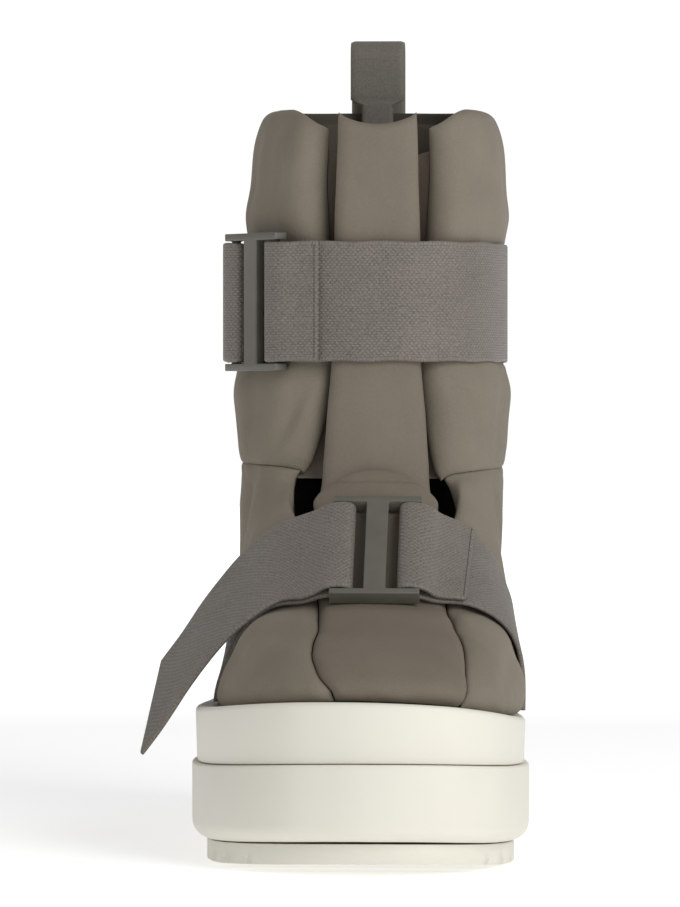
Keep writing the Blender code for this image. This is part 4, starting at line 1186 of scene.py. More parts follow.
CREASES = [
    # side, height, column, height, column, half width, depth
    (-1, 0.196, 5.0, 0.166, 6.8, 0.0050, 0.0020),
    (-1, 0.192, 9.0, 0.170, 9.6, 0.0060, 0.0012),
    (-1, 0.190, 14.0, 0.164, 12.5, 0.0070, 0.0014),
    (-1, 0.193, 20.0, 0.168, 21.5, 0.0070, 0.0013),
    (-1, 0.258, 8.6, 0.306, 7.2, 0.0075, 0.0022),
    (-1, 0.260, 12.0, 0.300, 11.5, 0.0080, 0.0010),
    (-1, 0.259, 19.0, 0.303, 20.0, 0.0080, 0.0012),
    (1, 0.196, 5.4, 0.168, 7.4, 0.0050, 0.0018),
    (1, 0.190, 10.5, 0.163, 10.0, 0.0065, 0.0013),
    (1, 0.192, 17.0, 0.166, 18.6, 0.0070, 0.0014),
    (1, 0.258, 8.4, 0.306, 7.2, 0.0070, 0.0016),
    (1, 0.260, 13.0, 0.304, 12.2, 0.0080, 0.0011),
    (1, 0.258, 20.0, 0.300, 21.0, 0.0080, 0.0012),
    (-1, 0.150, 9.0, 0.128, 11.0, 0.0060, 0.0016),
    (-1, 0.150, 14.0, 0.120, 16.5, 0.0070, 0.0016),
    (-1, 0.147, 21.0, 0.112, 20.0, 0.0080, 0.0014),
    (-1, 0.070, 5.2, 0.082, 9.5, 0.0050, 0.0016),
    (-1, 0.072, 15.0, 0.094, 18.0, 0.0070, 0.0012),
    (1, 0.146, 9.0, 0.122, 11.5, 0.0060, 0.0016),
    (1, 0.144, 15.0, 0.116, 16.5, 0.0070, 0.0015),
    (1, 0.146, 21.0, 0.108, 20.5, 0.0080, 0.0014),
    (1, 0.070, 6.0, 0.084, 9.0, 0.0055, 0.0012),
    (1, 0.074, 16.0, 0.092, 19.0, 0.0070, 0.0012),
]


print("creases set by hand:", len(CREASES))


def read_column(table, k, ease=0.30):
    """Column of a table at ring place k, eased so that the line has no corners."""
    rings = [row[0] for row in table]
    columns = [row[1] for row in table]
    return sum(np.interp(k + ease * step / 3, rings, columns) for step in range(-3, 4)) / 7


def seam_column(side, k):
    return read_column(SEAM_BENDS[side], k)


def tab_column(side, k):
    """Edge of the toe panel: its seam, then the side of the round tab over the tongue."""
    share = np.clip((k - TAB_TURN[0]) / (TAB_TURN[1] - TAB_TURN[0]), 0, 1)
    return seam_column(side, k) * (1 - share) + read_column(TAB_EDGES, k) * share


def edge_column(side, k):
    """Front edge of a side panel: the toe seam, then the free edge beside the tongue."""
    return np.where(k < SEAM_END, seam_column(side, k), read_column(FRONT_EDGES[side], k))

# %% [markdown]
# A pillow's edge follows a quarter circle, so its thickness grows from nothing at the seam to the whole
# wall within one rim width.

# %% A padded panel
def round_rise(distance, rim, share=1.0):
    """Share of the full thickness at a distance from a seam or an open edge."""
    near = np.clip(1.0 - distance / rim, 0.0, 1.0)
    return 1.0 - share * (1.0 - np.sqrt(np.maximum(0.0, 1.0 - near ** 2)))


def crease_push(points, side, grid):
    """How far each point sinks into the creases of its side."""
    push = np.zeros(points.shape[:2])
    for crease_side, z1, j1, z2, j2, half_width, depth in CREASES:
        if crease_side != side:
            continue
        ends = []
        for z, j in ((z1, j1), (z2, j2)):
            ks = np.linspace(0, TOP_RING, 120)
            line = surface_at(grid, ks[:, None], np.full((120, 1), side * j))[:, 0]
            ends.append(np.array([np.interp(z, line[:, 2], line[:, i]) for i in range(3)]))
        start, end = ends
        run = end - start
        along = np.clip(((points - start) @ run) / float(run @ run), 0.0, 1.0)
        distance = np.linalg.norm(points - (start + along[..., None] * run), axis=2)
        fade = np.sin(np.pi * np.clip(along * 0.8 + 0.12, 0, 1)) ** 0.7
        push += 1.4 * depth * fade * np.exp(-(distance / half_width) ** 2)
    return push


def cloud(points, scale, seed):
    """Slow, smooth unevenness from -1 to 1, the same on every run."""
    flat = points.reshape(-1, 3) / scale + seed
    values = np.array([noise.noise(Vector(p)) for p in flat])
    return values.reshape(points.shape[:2])


def press_by_ankle_strap(z, swell, width):
    """Swell of the padding above and below the ankle strap, by height."""
    reach = np.abs(z - ANKLE_STRAP_HEIGHT) - WEBBING_WIDTH / 2
    return swell * np.exp(-((reach - 0.012) / width) ** 2), reach


def strap_press(points):
    """Padding sinks under a strap and swells beside it."""
    swell, reach = press_by_ankle_strap(points[..., 2], 0.0017, 0.009)
    shaft = np.clip((points[..., 2] - INSTEP_HEIGHT - 0.002) / 0.012, 0, 1)
    ankle = (swell - 0.0006 * (reach < 0.001)) * shaft
    stations = np.linspace(-instep_length(-1), instep_length(1), 60)
    edges = [np.array(edge) for edge in zip(*(instep_frame(s, UNDER)[:2] for s in stations))]
    flat = points.reshape(-1, 1, 3)
    away = [np.linalg.norm(flat - edge[None], axis=2).min(axis=1) for edge in edges]
    beside = (np.maximum(*away) - WEBBING_WIDTH).reshape(points.shape[:2])
    instep = 0.0016 * np.exp(-((beside - 0.012) / 0.008) ** 2) - 0.0004 * (beside < 0.002)
    return ankle + instep * (points[..., 2] < 0.150)


def value_at(value, place):
    """A number, or what a function gives at a place."""
    return value(place) if callable(value) else value


def padded_panel(name, side, columns, rings, wall, rims, crown, rows, cells, grid=None, tab=False,
                 sink=0.0, top_drop=0.0, cloth=PADDED):
    """Pillow between two columns and two rings. rims: (rim, share) for first, last, low and high."""
    grid = RINGS if grid is None else grid
    u = eased_places(cells)[None, :]
    v = eased_places(rows)[:, None]
    ks = rings[0] + (rings[1] - rings[0]) * np.repeat(v, cells, axis=1)
    first, last = (value_at(column, ks) for column in columns)
    js = first + (last - first) * u
    ks = ks - top_drop * v * np.clip((8.6 - np.abs(js)) / 4.2, 0, 1) ** 1.6
    points = surface_at(grid, ks, js)
    if tab:
        share = np.clip(np.abs(2 * u - 1) * np.ones_like(ks), 0, 1)
        lift = np.sqrt(np.maximum(0.0, 1 - share ** 2)) - TAB_BASE
        lift = lift * np.clip((ks - TAB_TURN[1]) / (THROAT_RING - TAB_TURN[1]), 0, 1) ** 1.6
        points = points + lift[..., None] * np.array([0.0, TAB_LEAN, 1.0]) * VAMP_TOP_RISE
    normal = grid_normals(points)
    from_first = travelled(points, 1)
    from_last = from_first[:, -1:] - from_first
    from_low = travelled(points, 0)
    from_high = from_low[-1:] - from_low
    body = np.ones(points.shape[:2])
    for (rim, share), distance in zip(rims, (from_first, from_last, from_low, from_high)):
        body = body * round_rise(distance, rim, value_at(share, np.abs(js)))
    swell = crown * (1 - np.abs(2 * u - 1) ** 3) * (1 - np.abs(2 * v - 1) ** 4)
    swell = swell + cloud(points, 0.030, 3.0 + side) * 0.0006 + cloud(points, 0.011, 9.0) * 0.00016
    swell = swell + strap_press(points) - crease_push(points, side, grid)
    nearest = np.minimum(np.minimum(from_first, from_last), np.minimum(from_low, from_high))
    pucker = 0.00022 * np.sin((from_low + from_first) / 0.0036 + 4 * cloud(points, 0.02, 1.0))
    swell = swell + pucker * np.exp(-(nearest / 0.009) ** 2) * (nearest > 0.0008)
    thick = np.broadcast_to(np.asarray(value_at(wall, ks), dtype=float), ks.shape)
    from_front = from_last if side < 0 else from_first
    turn_in = sink * np.clip(1 - from_front / 0.020, 0, 1) ** 2 * np.clip(ks - 8.2, 0, 1)
    turn_in = turn_in + (0.0012 * np.clip(1 - nearest / 0.008, 0, 1) ** 2 if side == 0 else 0.0)
    middle = points - normal * (thick / 2 + turn_in)[..., None]
    outer = middle + normal * (thick / 2 * body + swell * body)[..., None]
    inner = middle - normal * (thick / 2 * body)[..., None]
    return pillow_mesh(name, outer, inner, [cloth, LINING])

# %% [markdown]
# The toe panel runs from the sole to the rounded tab over the tongue. Its seams bend where the padding
# of the sides leans over it.

# %% Toe panel and sides
TOE_PANEL = padded_panel(
    "toe_panel", 0, (lambda k: -tab_column(-1, k), lambda k: tab_column(1, k)),
    (0.0, float(THROAT_RING)), VAMP_WALL, ((0.0055, 1.0), (0.0055, 1.0), (0.0040, 0.8), (0.0026, 0.9)),
    crown=0.0012, rows=160, cells=90, grid=PLAIN, tab=True, cloth=TOE_CLOTH,
)
fit_piece(TOE_PANEL, ["upper"])


def fold_share(column):
    """The fold above the ankle is deep in front and fades towards the heel."""
    return np.interp(column, [5.0, 7.0, 9.0, 12.0, 28.0], [1.0, 0.70, 0.35, 0.22, 0.22])


def vamp_wall(k):
    return np.interp(k, [8.6, 10.4], [VAMP_WALL, PADDING])


def mirrored(side, front_column, back, front):
    """Columns and rims of a panel on one side, always counted from the outer side to the inner."""
    if side < 0:
        return (-HALF + 0.02, lambda k: -front_column(k)), (back, front)
    return (front_column, HALF - 0.02), (front, back)


for side, word in SIDES:
    ends, rims = mirrored(side, lambda k: edge_column(side, k), (0.0030, 0.7), (0.0080, 1.0))
    piece = padded_panel(
        "side_" + word, side, ends, (0.0, FOLD_RING[side]), vamp_wall,
        (*rims, (0.0040, 0.8), (0.0080, fold_share)), crown=0.0014, rows=150, cells=190, sink=0.0030,
    )
    fit_piece(piece, ["upper"])

# %% [markdown]
# The tall rolls are the fattest padding of the boot. Their front edges and the collar are open rims, so
# both turn in over the whole wall, and the fold above the ankle is a seam.

# %% Shaft rolls
def roll_wall(k):
    return np.interp(k, np.arange(len(WALLS)), WALLS).clip(0.0065, PADDING)


for side, word in SIDES:
    ends, rims = mirrored(
        side, lambda k: read_column(FRONT_EDGES[side], k), (0.0034, 0.7), (0.0120, 1.0)
    )
    piece = padded_panel(
        "shaft_roll_" + word, side, ends, (FOLD_RING[side], float(TOP_RING)), roll_wall,
        (*rims, (0.0095, fold_share), (0.0085, 1.0)), crown=0.0014, rows=150, cells=190, sink=0.0055,
        top_drop=1.5,
    )
    fit_piece(piece, ["upper"])

# %% [markdown]
# The tongue is one long pad. It lies a little behind the rolls, its sides tuck under them, and its top
# edge dips in the middle.

# %% Tongue
def make_tongue():
    rows, cells = 150, 64
    low, high = 7.6, TOP_RING - 1
    ks = np.repeat((low + (high - low) * eased_places(rows, 0.2))[:, None], cells, axis=1)
    u = eased_places(cells)[None, :] * 2 - 1
    tucked = np.interp(ks, [9.0, 10.0], [TUCKED_GAP, SIDE_GAP])
    js = u * PANEL * (1 - tucked / THROAT_HALF * 0.95)
    points = surface_at(PLAIN, ks, js)
    normal = grid_normals(points)
    depth = np.interp(ks, [8.6, 9.4, 10.0, 10.5, 11.0], [0.0058, 0.0058, 0.0042, 0.0027, 0.0014])
    sideways = travelled(points, 1)
    edge = np.minimum(sideways, sideways[:, -1:] - sideways)
    upward = travelled(points, 0)
    body = round_rise(edge, 0.0075) * round_rise(upward, 0.004)
    body = body * round_rise(upward[-1:] - upward, 0.0045)
    swell = 0.0007 * (1 - u ** 2)
    swell = swell + cloud(points, 0.026, 5.0) * 0.0005 + cloud(points, 0.010, 2.0) * 0.00012
    swell = swell + press_by_ankle_strap(points[..., 2], 0.0008, 0.008)[0] * (ks > 11)
    top = np.clip((ks - (TOP_RING - 2)) / 1.0, 0, 1)
    lift = (0.0055 * u ** 2 - 0.0010) * top
    half = TONGUE_THICKNESS / 2
    middle = points - normal * (depth + half)[..., None]
    middle[..., 2] += lift
    front = middle + normal * (half * body + swell * body)[..., None]
    back = middle - normal * (half * body)[..., None]
    return pillow_mesh("tongue_pad", front, back, [TONGUE_CLOTH, LINING])


fit_piece(make_tongue(), ["tongue"])

# %% [markdown]
# A gusset of thin cloth joins each side of the tongue to the roll beside it and keeps snow out. It sags
# inwards, so all that shows of it is a dark hollow with soft cloth at its bottom. It takes the darker
# toe cloth rather than the tongue's, which adds painted shade to the hollow.

# %% Gussets
def make_gusset(side, word):
    rows, cells = 90, 18
    v = np.linspace(0, 1, rows)[:, None]
    u = np.linspace(0, 1, cells)[None, :]
    low, high = 9.2, 15.55
    ks = np.repeat(low + (high - low) * v, cells, axis=1) + 0.35 * u * v ** 6
    first = 3.55
    last = read_column(FRONT_EDGES[side], ks) + 0.55
    js = side * (first + (last - first) * u)
    points = surface_at(PLAIN, ks, js)
    order = slice(None) if side > 0 else slice(None, None, -1)
    normal = grid_normals(points[:, order])[:, order]
    normal[..., 2] = 0.0
    normal /= np.linalg.norm(normal, axis=2)[..., None]
    sag = 0.0086 + 0.0095 * np.sin(math.pi * u) + 0.0006 * cloud(points, 0.012, 7.0)
    front = points - normal * sag[..., None]
    back = front - normal * 0.0012
    # The darker toe cloth here is painted shade in the hollow
    return fit_piece(pillow_mesh("gusset_" + word, front, back, [TOE_CLOTH]), ["tongue"])


for side, word in SIDES:
    make_gusset(side, word)

# %% [markdown]
# ## Straps
#
# A strap is one ribbon that keeps its width and thickness along its whole path, also round the bar of
# its buckle. The path under it is smoothed first, because taut webbing shows no corners.

# %% Smooth tables of the straps' frames
def frame_table(frame, height, first, last, closed=False, step=0.001, soft=0.0035):
    """Frames read at even steps and smoothed; gives a function of the place along the strap."""
    count = int(round((last - first) / step)) + 1
    stations = np.linspace(first, last, count)
    rows = np.array([np.concatenate(frame(s, height)) for s in stations])
    reach = int(soft * 3 / step)
    weights = np.exp(-((np.arange(-reach, reach + 1) * step / soft) ** 2) / 2)
    weights /= weights.sum()
    eased = rows.copy()
    for column in range(9):
        line = rows[:, column]
        if closed:
            padded = np.concatenate([line[-reach - 1:-1], line, line[1:reach + 1]])
        else:
            head = 2 * line[0] - line[1:reach + 1][::-1]
            tail = 2 * line[-1] - line[-reach - 1:-1][::-1]
            padded = np.concatenate([head, line, tail])
        eased[:, column] = np.convolve(padded, weights, mode="valid")
    span = last - first

    def at(s):
        place = first + (s - first) % span if closed else s
        row = np.array([np.interp(place, stations, eased[:, i]) for i in range(9)])
        return row[:3], row[3:6], unit(row[6:])

    return at


ANKLE_AT = frame_table(ankle_frame, UNDER, 0.0, ANKLE_GIRTH, closed=True)
INSTEP_AT = frame_table(instep_frame, UNDER, -instep_length(-1), instep_length(1))
TAIL_AT = frame_table(tail_frame, LAPPED, -TAIL_START - TAIL_LENGTH, 0.0)


def tail_or_instep(s, height):
    return TAIL_AT(s) if upper_layer(height) and s < 0 else INSTEP_AT(s)

# %% [markdown]
# The webbing's cross section has soft selvedges. The mesh carries a map with real lengths along and
# across the strap, which the weave follows.

# %% A ribbon of webbing
def smooth_path(path, step=0.0011):
    """Finer path through the same places."""
    path = np.array(path, dtype=float)
    count = int(length_along(path)[-1] / step) + 1
    line = resample(path, count)
    kernel = np.array([1.0, 2.0, 3.0, 2.0, 1.0])
    kernel /= kernel.sum()
    padded = np.concatenate([[line[0]] * 2, line, [line[-1]] * 2])
    soft = np.stack([np.convolve(padded[:, i], kernel, mode="valid") for i in range(2)], axis=1)
    soft[0], soft[-1] = line[0], line[-1]
    return soft


def webbing_section(width, half):
    """Closed cross section: place across, and share of the half thickness, with round selvedges."""
    flat = np.linspace(-width / 2 + half, width / 2 - half, 26)
    turns = [math.radians(turn) for turn in (30, 60, 90, 120, 150)]
    section = [(x, 1.0) for x in flat]
    section += [(width / 2 - half + half * math.sin(turn), math.cos(turn)) for turn in turns]
    section += [(x, -1.0) for x in flat[::-1]]
    section += [(-width / 2 + half - half * math.sin(turn), -math.cos(turn)) for turn in turns]
    return section


def webbing_piece(name, path, frame, width=WEBBING_WIDTH, thickness=WEBBING_THICKNESS):
    line = smooth_path(path)
    lengths = length_along(line)
    half = thickness / 2
    section = webbing_section(width, half)
    verts = []
    places = []
    for i, gone in enumerate(lengths):
        before = line[max(i - 2, 0)]
        after = line[min(i + 2, len(line) - 1)]
        direction = unit(after - before)
        side = np.array([-direction[1], direction[0]]) * half
        for x, share in section:
            s, n = line[i] + side * share
            low, high, out = frame(s, n)
            wave = 0.00022 * math.sin(gone * 260 + x * 30) * (abs(x) / width * 2) ** 4
            verts.append(low + (high - low) * ((x + wave) / width + 0.5) + out * n)
            places.append((gone, x))
    return new_mesh(name, verts, tube_faces(len(line), len(section)), [WEBBING], None, places)

# %% Paths of the three straps
def steps_between(first, last, step=0.004):
    return np.linspace(first, last, max(2, round(abs(last - first) / step) + 1))


def on_ankle(s, _height):
    return ANKLE_AT(s)


def on_instep(s, _height):
    return INSTEP_AT(s)


# Where a strap's under layer starts, past the buckle's side bar
PAST_BAR = SIDE_BAR_OUT + 0.006

ankle_path = fold(1, ANKLE_LAP)
ankle_path += [(s, UNDER) for s in steps_between(PAST_BAR, ANKLE_GIRTH - PAST_BAR)]
back_fold = fold(-1, ANKLE_TAIL)[::-1]
back_end = back_fold[-1]
back_fold = back_fold[:-2]
back_fold += [(s, LAPPED) for s in steps_between(back_fold[-1][0] - 0.006, back_end[0])]
ankle_path += [(ANKLE_GIRTH + s, n) for s, n in back_fold]

inner_path = fold(1, INSTEP_LAP)
sewn_layer = steps_between(inner_path[0][0], inner_path[2][0] + 0.005)
inner_path = [(s, LAPPED) for s in sewn_layer] + inner_path[2:]
inner_path += [(s, UNDER) for s in steps_between(PAST_BAR, instep_length(1))]

outer_path = [(s, UNDER) for s in steps_between(-instep_length(-1), -PAST_BAR)]
outer_path += fold(-1, TAIL_START)[::-1][:-2]
outer_path += [(s, LAPPED) for s in steps_between(outer_path[-1][0] - 0.004, -TAIL_START - TAIL_LENGTH)]

for name, path, at, node in (
    ("ankle_webbing", ankle_path, on_ankle, "ankle_strap"),
    ("instep_webbing_inner", inner_path, on_instep, "instep_strap_inner"),
    ("instep_webbing_outer", outer_path, tail_or_instep, "instep_strap_outer"),
):
    fit_piece(webbing_piece(name, path, at), [node])

# %% [markdown]
# The sewn ends show one row of close stitches. One stitch is a small capsule, modelled once and copied
# along the row. The stitches are real, but their dark colour is painted shade of the needle holes they
# sit in.

# %% Stitch rows on the straps
STITCHES = 37
STITCH_HALF_SIZE = (0.00028, 0.00022, 0.00052)
STITCH_INSET = 0.0016


def stitch_row(name, s, frame, node):
    deselect()
    bpy.ops.mesh.primitive_uv_sphere_add(segments=8, ring_count=5, radius=1.0, location=(0, 0, 0))
    pattern = bpy.context.object
    shape = [np.array(v.co) for v in pattern.data.vertices]
    cells = [tuple(face.vertices) for face in pattern.data.polygons]
    bpy.data.objects.remove(pattern, do_unlink=True)
    low, high, out = frame(s, LAPPED)
    along = unit(high - low)
    across = unit(np.cross(along, out))
    verts = []
    faces = []
    wide, high_up, long = STITCH_HALF_SIZE
    for i in range(STITCHES):
        centre = low + (high - low) * (0.03 + 0.94 * (i + 0.5) / STITCHES)
        centre = centre + out * (LAPPED + WEBBING_THICKNESS / 2 + 0.00002)
        shift = len(verts)
        for p in shape:
            verts.append(centre + along * p[2] * long + across * p[0] * wide + out * p[1] * high_up)
        faces += [tuple(shift + v for v in cell) for cell in cells]
    return fit_piece(new_mesh(name, verts, faces, [SHADED_STITCH_THREAD]), [node])


stitch_row("ankle_stitches", ANKLE_LAP - STITCH_INSET, on_ankle, "ankle_strap")
stitch_row("instep_stitches", INSTEP_LAP - STITCH_INSET, on_instep, "instep_strap_inner")

# %% [markdown]
# ## Buckles
#
# The cast buckles keep the measured solid's form. A copy is merged, its corners are rounded with a bevel
# and it is shaded smooth by angle, so that the paint catches light on every edge.

# %% Buckles
def rounded_copy(name, node, width, segments, finish, angle=24.0):
    """A solid's own form with its corners rounded."""
    mesh = NODES[node].data.copy()
    mesh.transform(NODES[node].matrix_world)
    piece = bpy.data.objects.new(name, mesh)
    bpy.context.scene.collection.objects.link(piece)
    hold(piece)
    bpy.ops.object.mode_set(mode="EDIT")
    bpy.ops.mesh.select_all(action="SELECT")
    bpy.ops.mesh.remove_doubles(threshold=0.00001)
    bpy.ops.mesh.dissolve_limited(angle_limit=math.radians(1.0))
    bpy.ops.object.mode_set(mode="OBJECT")
    bevel = piece.modifiers.new("rounded edges", "BEVEL")
    bevel.width = width
    bevel.segments = segments
    bevel.limit_method = "ANGLE"
    bevel.angle_limit = math.radians(angle)
    bevel.use_clamp_overlap = True
    bpy.ops.object.modifier_apply(modifier=bevel.name)
    bpy.ops.object.shade_smooth_by_angle(angle=math.radians(40))
    piece.data.materials.clear()
    piece.data.materials.append(finish)
    return piece


for name, node in (("ankle_slide", "ankle_buckle"), ("instep_slide", "instep_buckle")):
    fit_piece(rounded_copy(name, node, 0.0007, 3, PAINTED), [node])

# %% [markdown]
# ## Pull loop
#
# A doubled tape over the back of the collar: broad above the rim, narrow where it is sewn down inside.

# %% Pull loop
LOOP_STEP = 0.0012
LOOP_SEAM = 0.3155


def make_loop_tape():
    low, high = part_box("pull_loop")
    rim = COLLAR_HEIGHT + BACK_RIM_RISE
    half = LOOP_THICKNESS / 2
    y_in, y_out = low[1] + half, high[1] - half
    radius = (y_out - y_in) / 2
    centre = (y_in + y_out) / 2
    turn_z = high[2] - half - radius
    line = [(y_in, z) for z in np.arange(low[2], turn_z, LOOP_STEP)]
    for angle in math.pi * (1 - np.arange(25) / 24):
        line.append((centre + radius * math.cos(angle), turn_z + radius * math.sin(angle)))
    line += [(y_out, z) for z in np.arange(turn_z - LOOP_STEP, low[2] + 0.0004, -LOOP_STEP)]
    line = np.array(line)
    lengths = length_along(line)
    section = [(x, 1.0) for x in np.linspace(-1, 1, 15)]
    section += [(x, -1.0) for x in np.linspace(1, -1, 15)]
    verts = []
    places = []
    for i, (y, z) in enumerate(line):
        after = line[min(i + 1, len(line) - 1)]
        before = line[max(i - 1, 0)]
        run = unit(after - before)
        inside = y < centre
        wide = smooth_step((z - rim - 0.0002) / 0.0022) if inside else 1.0
        width = LOOP_TAB_WIDTH + (LOOP_WIDTH - LOOP_TAB_WIDTH) * wide
        for x, side in section:
            edge = math.sqrt(max(0.0, 1 - max(0.0, (abs(x) - 0.88) / 0.12) ** 2))
            push = side * half * (0.35 + 0.65 * edge)
            push -= side * 0.00035 * math.exp(-((z - LOOP_SEAM) / 0.0006) ** 2)
            verts.append((x * width / 2, y - run[1] * push, z + run[0] * push))
            places.append((lengths[i], x * width / 2))
    return new_mesh("loop_tape_piece", verts, tube_faces(len(line), len(section)), [TAPE], None, places)


fit_piece(make_loop_tape(), ["pull_loop"])

# %% [markdown]
# ## Sole
#
# Each tier starts as a flat disc that is drawn to the sole's plan, extruded upwards, set to its sloping
# top line, and rounded along its rims with a bevel. The plan is refined to six points a column so that
# the toe's outline shows no corners.

# %% A tier of the sole
POINTS_A_COLUMN = 6
CAP_CORNERS = 8


def fine_plan(coarse):
    """A ring's plan with more points a column."""
    js = np.arange(COLUMNS * POINTS_A_COLUMN) / POINTS_A_COLUMN
    flat = np.concatenate([np.stack([coarse, coarse]), np.zeros((2, COLUMNS, 1))], axis=2)
    return surface_at(flat, np.zeros((1, len(js))), js[None, :])[0][:, :2]


def put_points(points, plan, height):
    """Sets points to a plan, each at the height that a function gives there."""
    for point, (x, y) in zip(points, plan):
        point.co = (x, y, float(height(x, y)))


def select_rim(tier, top):
    """Edges of the tier's upper or lower rim."""
    mesh = bmesh.from_edit_mesh(tier.data)
    mesh.select_mode = {"EDGE"}
    for part in list(mesh.verts) + list(mesh.edges) + list(mesh.faces):
        part.select = False
    caps = [face for face in mesh.faces if len(face.verts) > CAP_CORNERS]
    caps.sort(key=lambda face: face.calc_center_median().z)
    for edge in caps[-1 if top else 0].edges:
        edge.select = True
    mesh.select_flush_mode()
    bmesh.update_edit_mesh(tier.data)


def make_tier(name, low_plan, high_plan, low_at, high_at, rounds, finish=RUBBER):
    """A disc between two plans and two height functions; rounds holds (top rim, width, segments)."""
    count = len(low_plan)
    deselect()
    bpy.ops.mesh.primitive_circle_add(vertices=count, radius=0.1, fill_type="NGON", location=(0, 0, 0))
    tier = bpy.context.object
    tier.name = name
    put_points(tier.data.vertices, low_plan, low_at)
    bpy.ops.object.mode_set(mode="EDIT")
    bpy.ops.mesh.select_all(action="SELECT")
    bpy.ops.mesh.extrude_region_move(TRANSFORM_OT_translate={"value": (0.0, 0.0, 0.01)})
    bpy.ops.object.mode_set(mode="OBJECT")
    put_points(tier.data.vertices[count:], high_plan, high_at)
    bpy.ops.object.mode_set(mode="EDIT")
    bpy.ops.mesh.select_all(action="SELECT")
    bpy.ops.mesh.normals_make_consistent(inside=False)
    for top, width, segments in rounds:
        select_rim(tier, top)
        bpy.ops.mesh.bevel(
            offset=width, segments=segments, profile=0.5, affect="EDGES", clamp_overlap=False
        )
    bpy.ops.object.mode_set(mode="OBJECT")
    shape = bmesh.new()
    shape.from_mesh(tier.data)
    caps = [face for face in shape.faces if len(face.verts) > CAP_CORNERS]
    bmesh.ops.triangulate(shape, faces=caps)
    if shape.calc_volume(signed=True) < 0:
        bmesh.ops.reverse_faces(shape, faces=shape.faces)
    shape.to_mesh(tier.data)
    shape.free()
    hold(tier)
    bpy.ops.object.shade_smooth_by_angle(angle=math.radians(38))
    tier.data.materials.append(finish)
    return tier

# %% The two tiers
FULL_PLAN = fine_plan(sole_ring(0.0))
PLATFORM = make_tier(
    "lower_tier", FULL_PLAN, FULL_PLAN,
    lambda x, y: platform_floor(y) + GAP, lambda x, y: platform_top(y),
    ((False, PLATFORM_ROUND, 7), (True, 0.0011, 3)),
)
fit_piece(PLATFORM, ["platform"])

MIDSOLE = make_tier(
    "upper_tier", fine_plan(sole_ring(MIDSOLE_INSET + 0.0006)), fine_plan(sole_ring(MIDSOLE_INSET)),
    lambda x, y: platform_top(y) + GAP, midsole_top, ((False, 0.0009, 2), (True, 0.0022, 5)),
)
fit_piece(MIDSOLE, ["midsole"])

# %% [markdown]
# The thin tread plate under the platform shows as a shallow band near the floor. It is taken from the
# measured solid, grooves and all, and its arrises are softened.

# %% Tread plate and insole
fit_piece(rounded_copy("tread_plate", "outsole", 0.0005, 2, RUBBER, 30.0), ["outsole"])


def make_insole_board():
    base = PLAIN[0][:, :2]
    run = np.roll(base, -1, axis=0) - np.roll(base, 1, axis=0)
    out = np.stack([run[:, 1], -run[:, 0]], axis=1)
    out /= np.linalg.norm(out, axis=1)[:, None]
    if float((out * (base - base.mean(axis=0))).sum()) < 0:
        out = -out
    plan = fine_plan(base - out * (VAMP_WALL + SIDE_GAP))
    return make_tier(
        "insole_pad", plan, plan, lambda x, y: midsole_top(x, y) + GAP,
        lambda x, y: midsole_top(x, y) + INSOLE_THICKNESS, ((True, 0.0014, 4),), BOARD,
    )


fit_piece(make_insole_board(), ["insole"])

# %% [markdown]
# ## Studio
#
# A white floor, a white surround and two soft lamps: the broad one in front on the right makes the right
# flank of each form lighter, a weak one fills the left. The camera stands two metres in front of the
# toe with a long lens, so the boot is seen almost without perspective.

# %% Floor, light and camera
WHITE = (1.0, 1.0, 1.0, 1.0)


def aimed(place, aim):
    """Rotation of a lamp or camera that looks from a place to an aim."""
    return (Vector(aim) - Vector(place)).to_track_quat("-Z", "Y").to_euler()


def add_lamp(name, place, aim, size, watts):
    """A rectangular lamp over the boot."""
    data = bpy.data.lights.new(name, "AREA")
    data.shape = "RECTANGLE"
    data.size, data.size_y = size
    data.energy = watts
    lamp = bpy.data.objects.new(name, data)
    lamp.location = place
    lamp.rotation_euler = aimed(place, aim)
    bpy.context.scene.collection.objects.link(lamp)


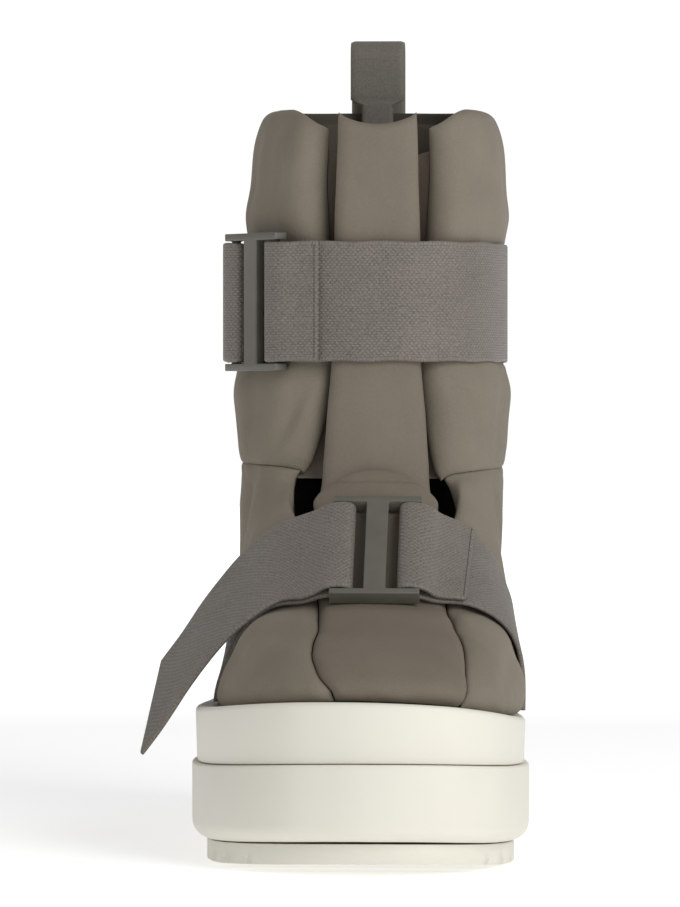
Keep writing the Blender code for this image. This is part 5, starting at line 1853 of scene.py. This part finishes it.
deselect()
bpy.ops.mesh.primitive_plane_add(size=12.0, location=(0, 0, 0))
FLOOR = bpy.context.object
FLOOR.name = "floor"
paint, tree, shader = new_finish("studio_floor", 0.9)
place, _, cloud_tone = place_grain(tree, 300.0, 2.0)
white = mix_colours(tree, cloud_tone, (0.90, 0.90, 0.90), (0.93, 0.93, 0.93))
tree.links.new(white, shader.inputs["Base Color"])
shader.inputs["Emission Color"].default_value = WHITE
apart = tree.nodes.new("ShaderNodeVectorMath")
apart.operation = "LENGTH"
tree.links.new(place, apart.inputs[0])
# The floor glows a little more away from the boot, so that it fades into the white surround
beyond = calculate(tree, "SUBTRACT", apart.outputs["Value"], 0.30)
glow = calculate(tree, "MULTIPLY_ADD", beyond, 0.45, 0.24)
glow = calculate(tree, "MAXIMUM", calculate(tree, "MINIMUM", glow, 0.85), 0.44)
tree.links.new(glow, shader.inputs["Emission Strength"])
FLOOR.data.materials.append(paint)

# The surround is pure white behind the boot and half as bright in what it lights
world = bpy.data.worlds.new("studio")
world.use_nodes = True
sky = world.node_tree.nodes["Background"]
sky.inputs["Color"].default_value = WHITE
seen = world.node_tree.nodes.new("ShaderNodeLightPath").outputs["Is Camera Ray"]
strength = calculate(world.node_tree, "MULTIPLY_ADD", seen, 0.56, 0.46)
world.node_tree.links.new(strength, sky.inputs["Strength"])
bpy.context.scene.world = world
bpy.context.scene.view_settings.view_transform = "Standard"

add_lamp("key lamp", (0.95, -1.15, 0.95), (0.0, 0.0, 0.17), (0.9, 1.1), 14.5)
add_lamp("fill lamp", (-1.2, -1.3, 0.6), (0.0, 0.0, 0.15), (1.2, 1.2), 0.5)

# Focus of the photograph in its pixels, its height, and how much larger the boot is shown
PHOTO_FOCUS = 3857.0
PHOTO_HEIGHT = 907.0
ENLARGE = 1.35
lens = bpy.data.cameras.new("camera")
lens.sensor_width = 36.0
lens.sensor_fit = "AUTO"
lens.lens = lens.sensor_width * PHOTO_FOCUS * ENLARGE / PHOTO_HEIGHT
camera = bpy.data.objects.new("camera", lens)
camera.location = (0.080, -2.160, 0.190)
camera.rotation_euler = aimed(camera.location, (-0.0106, -0.010, 0.162))
bpy.context.scene.collection.objects.link(camera)
bpy.context.scene.camera = camera
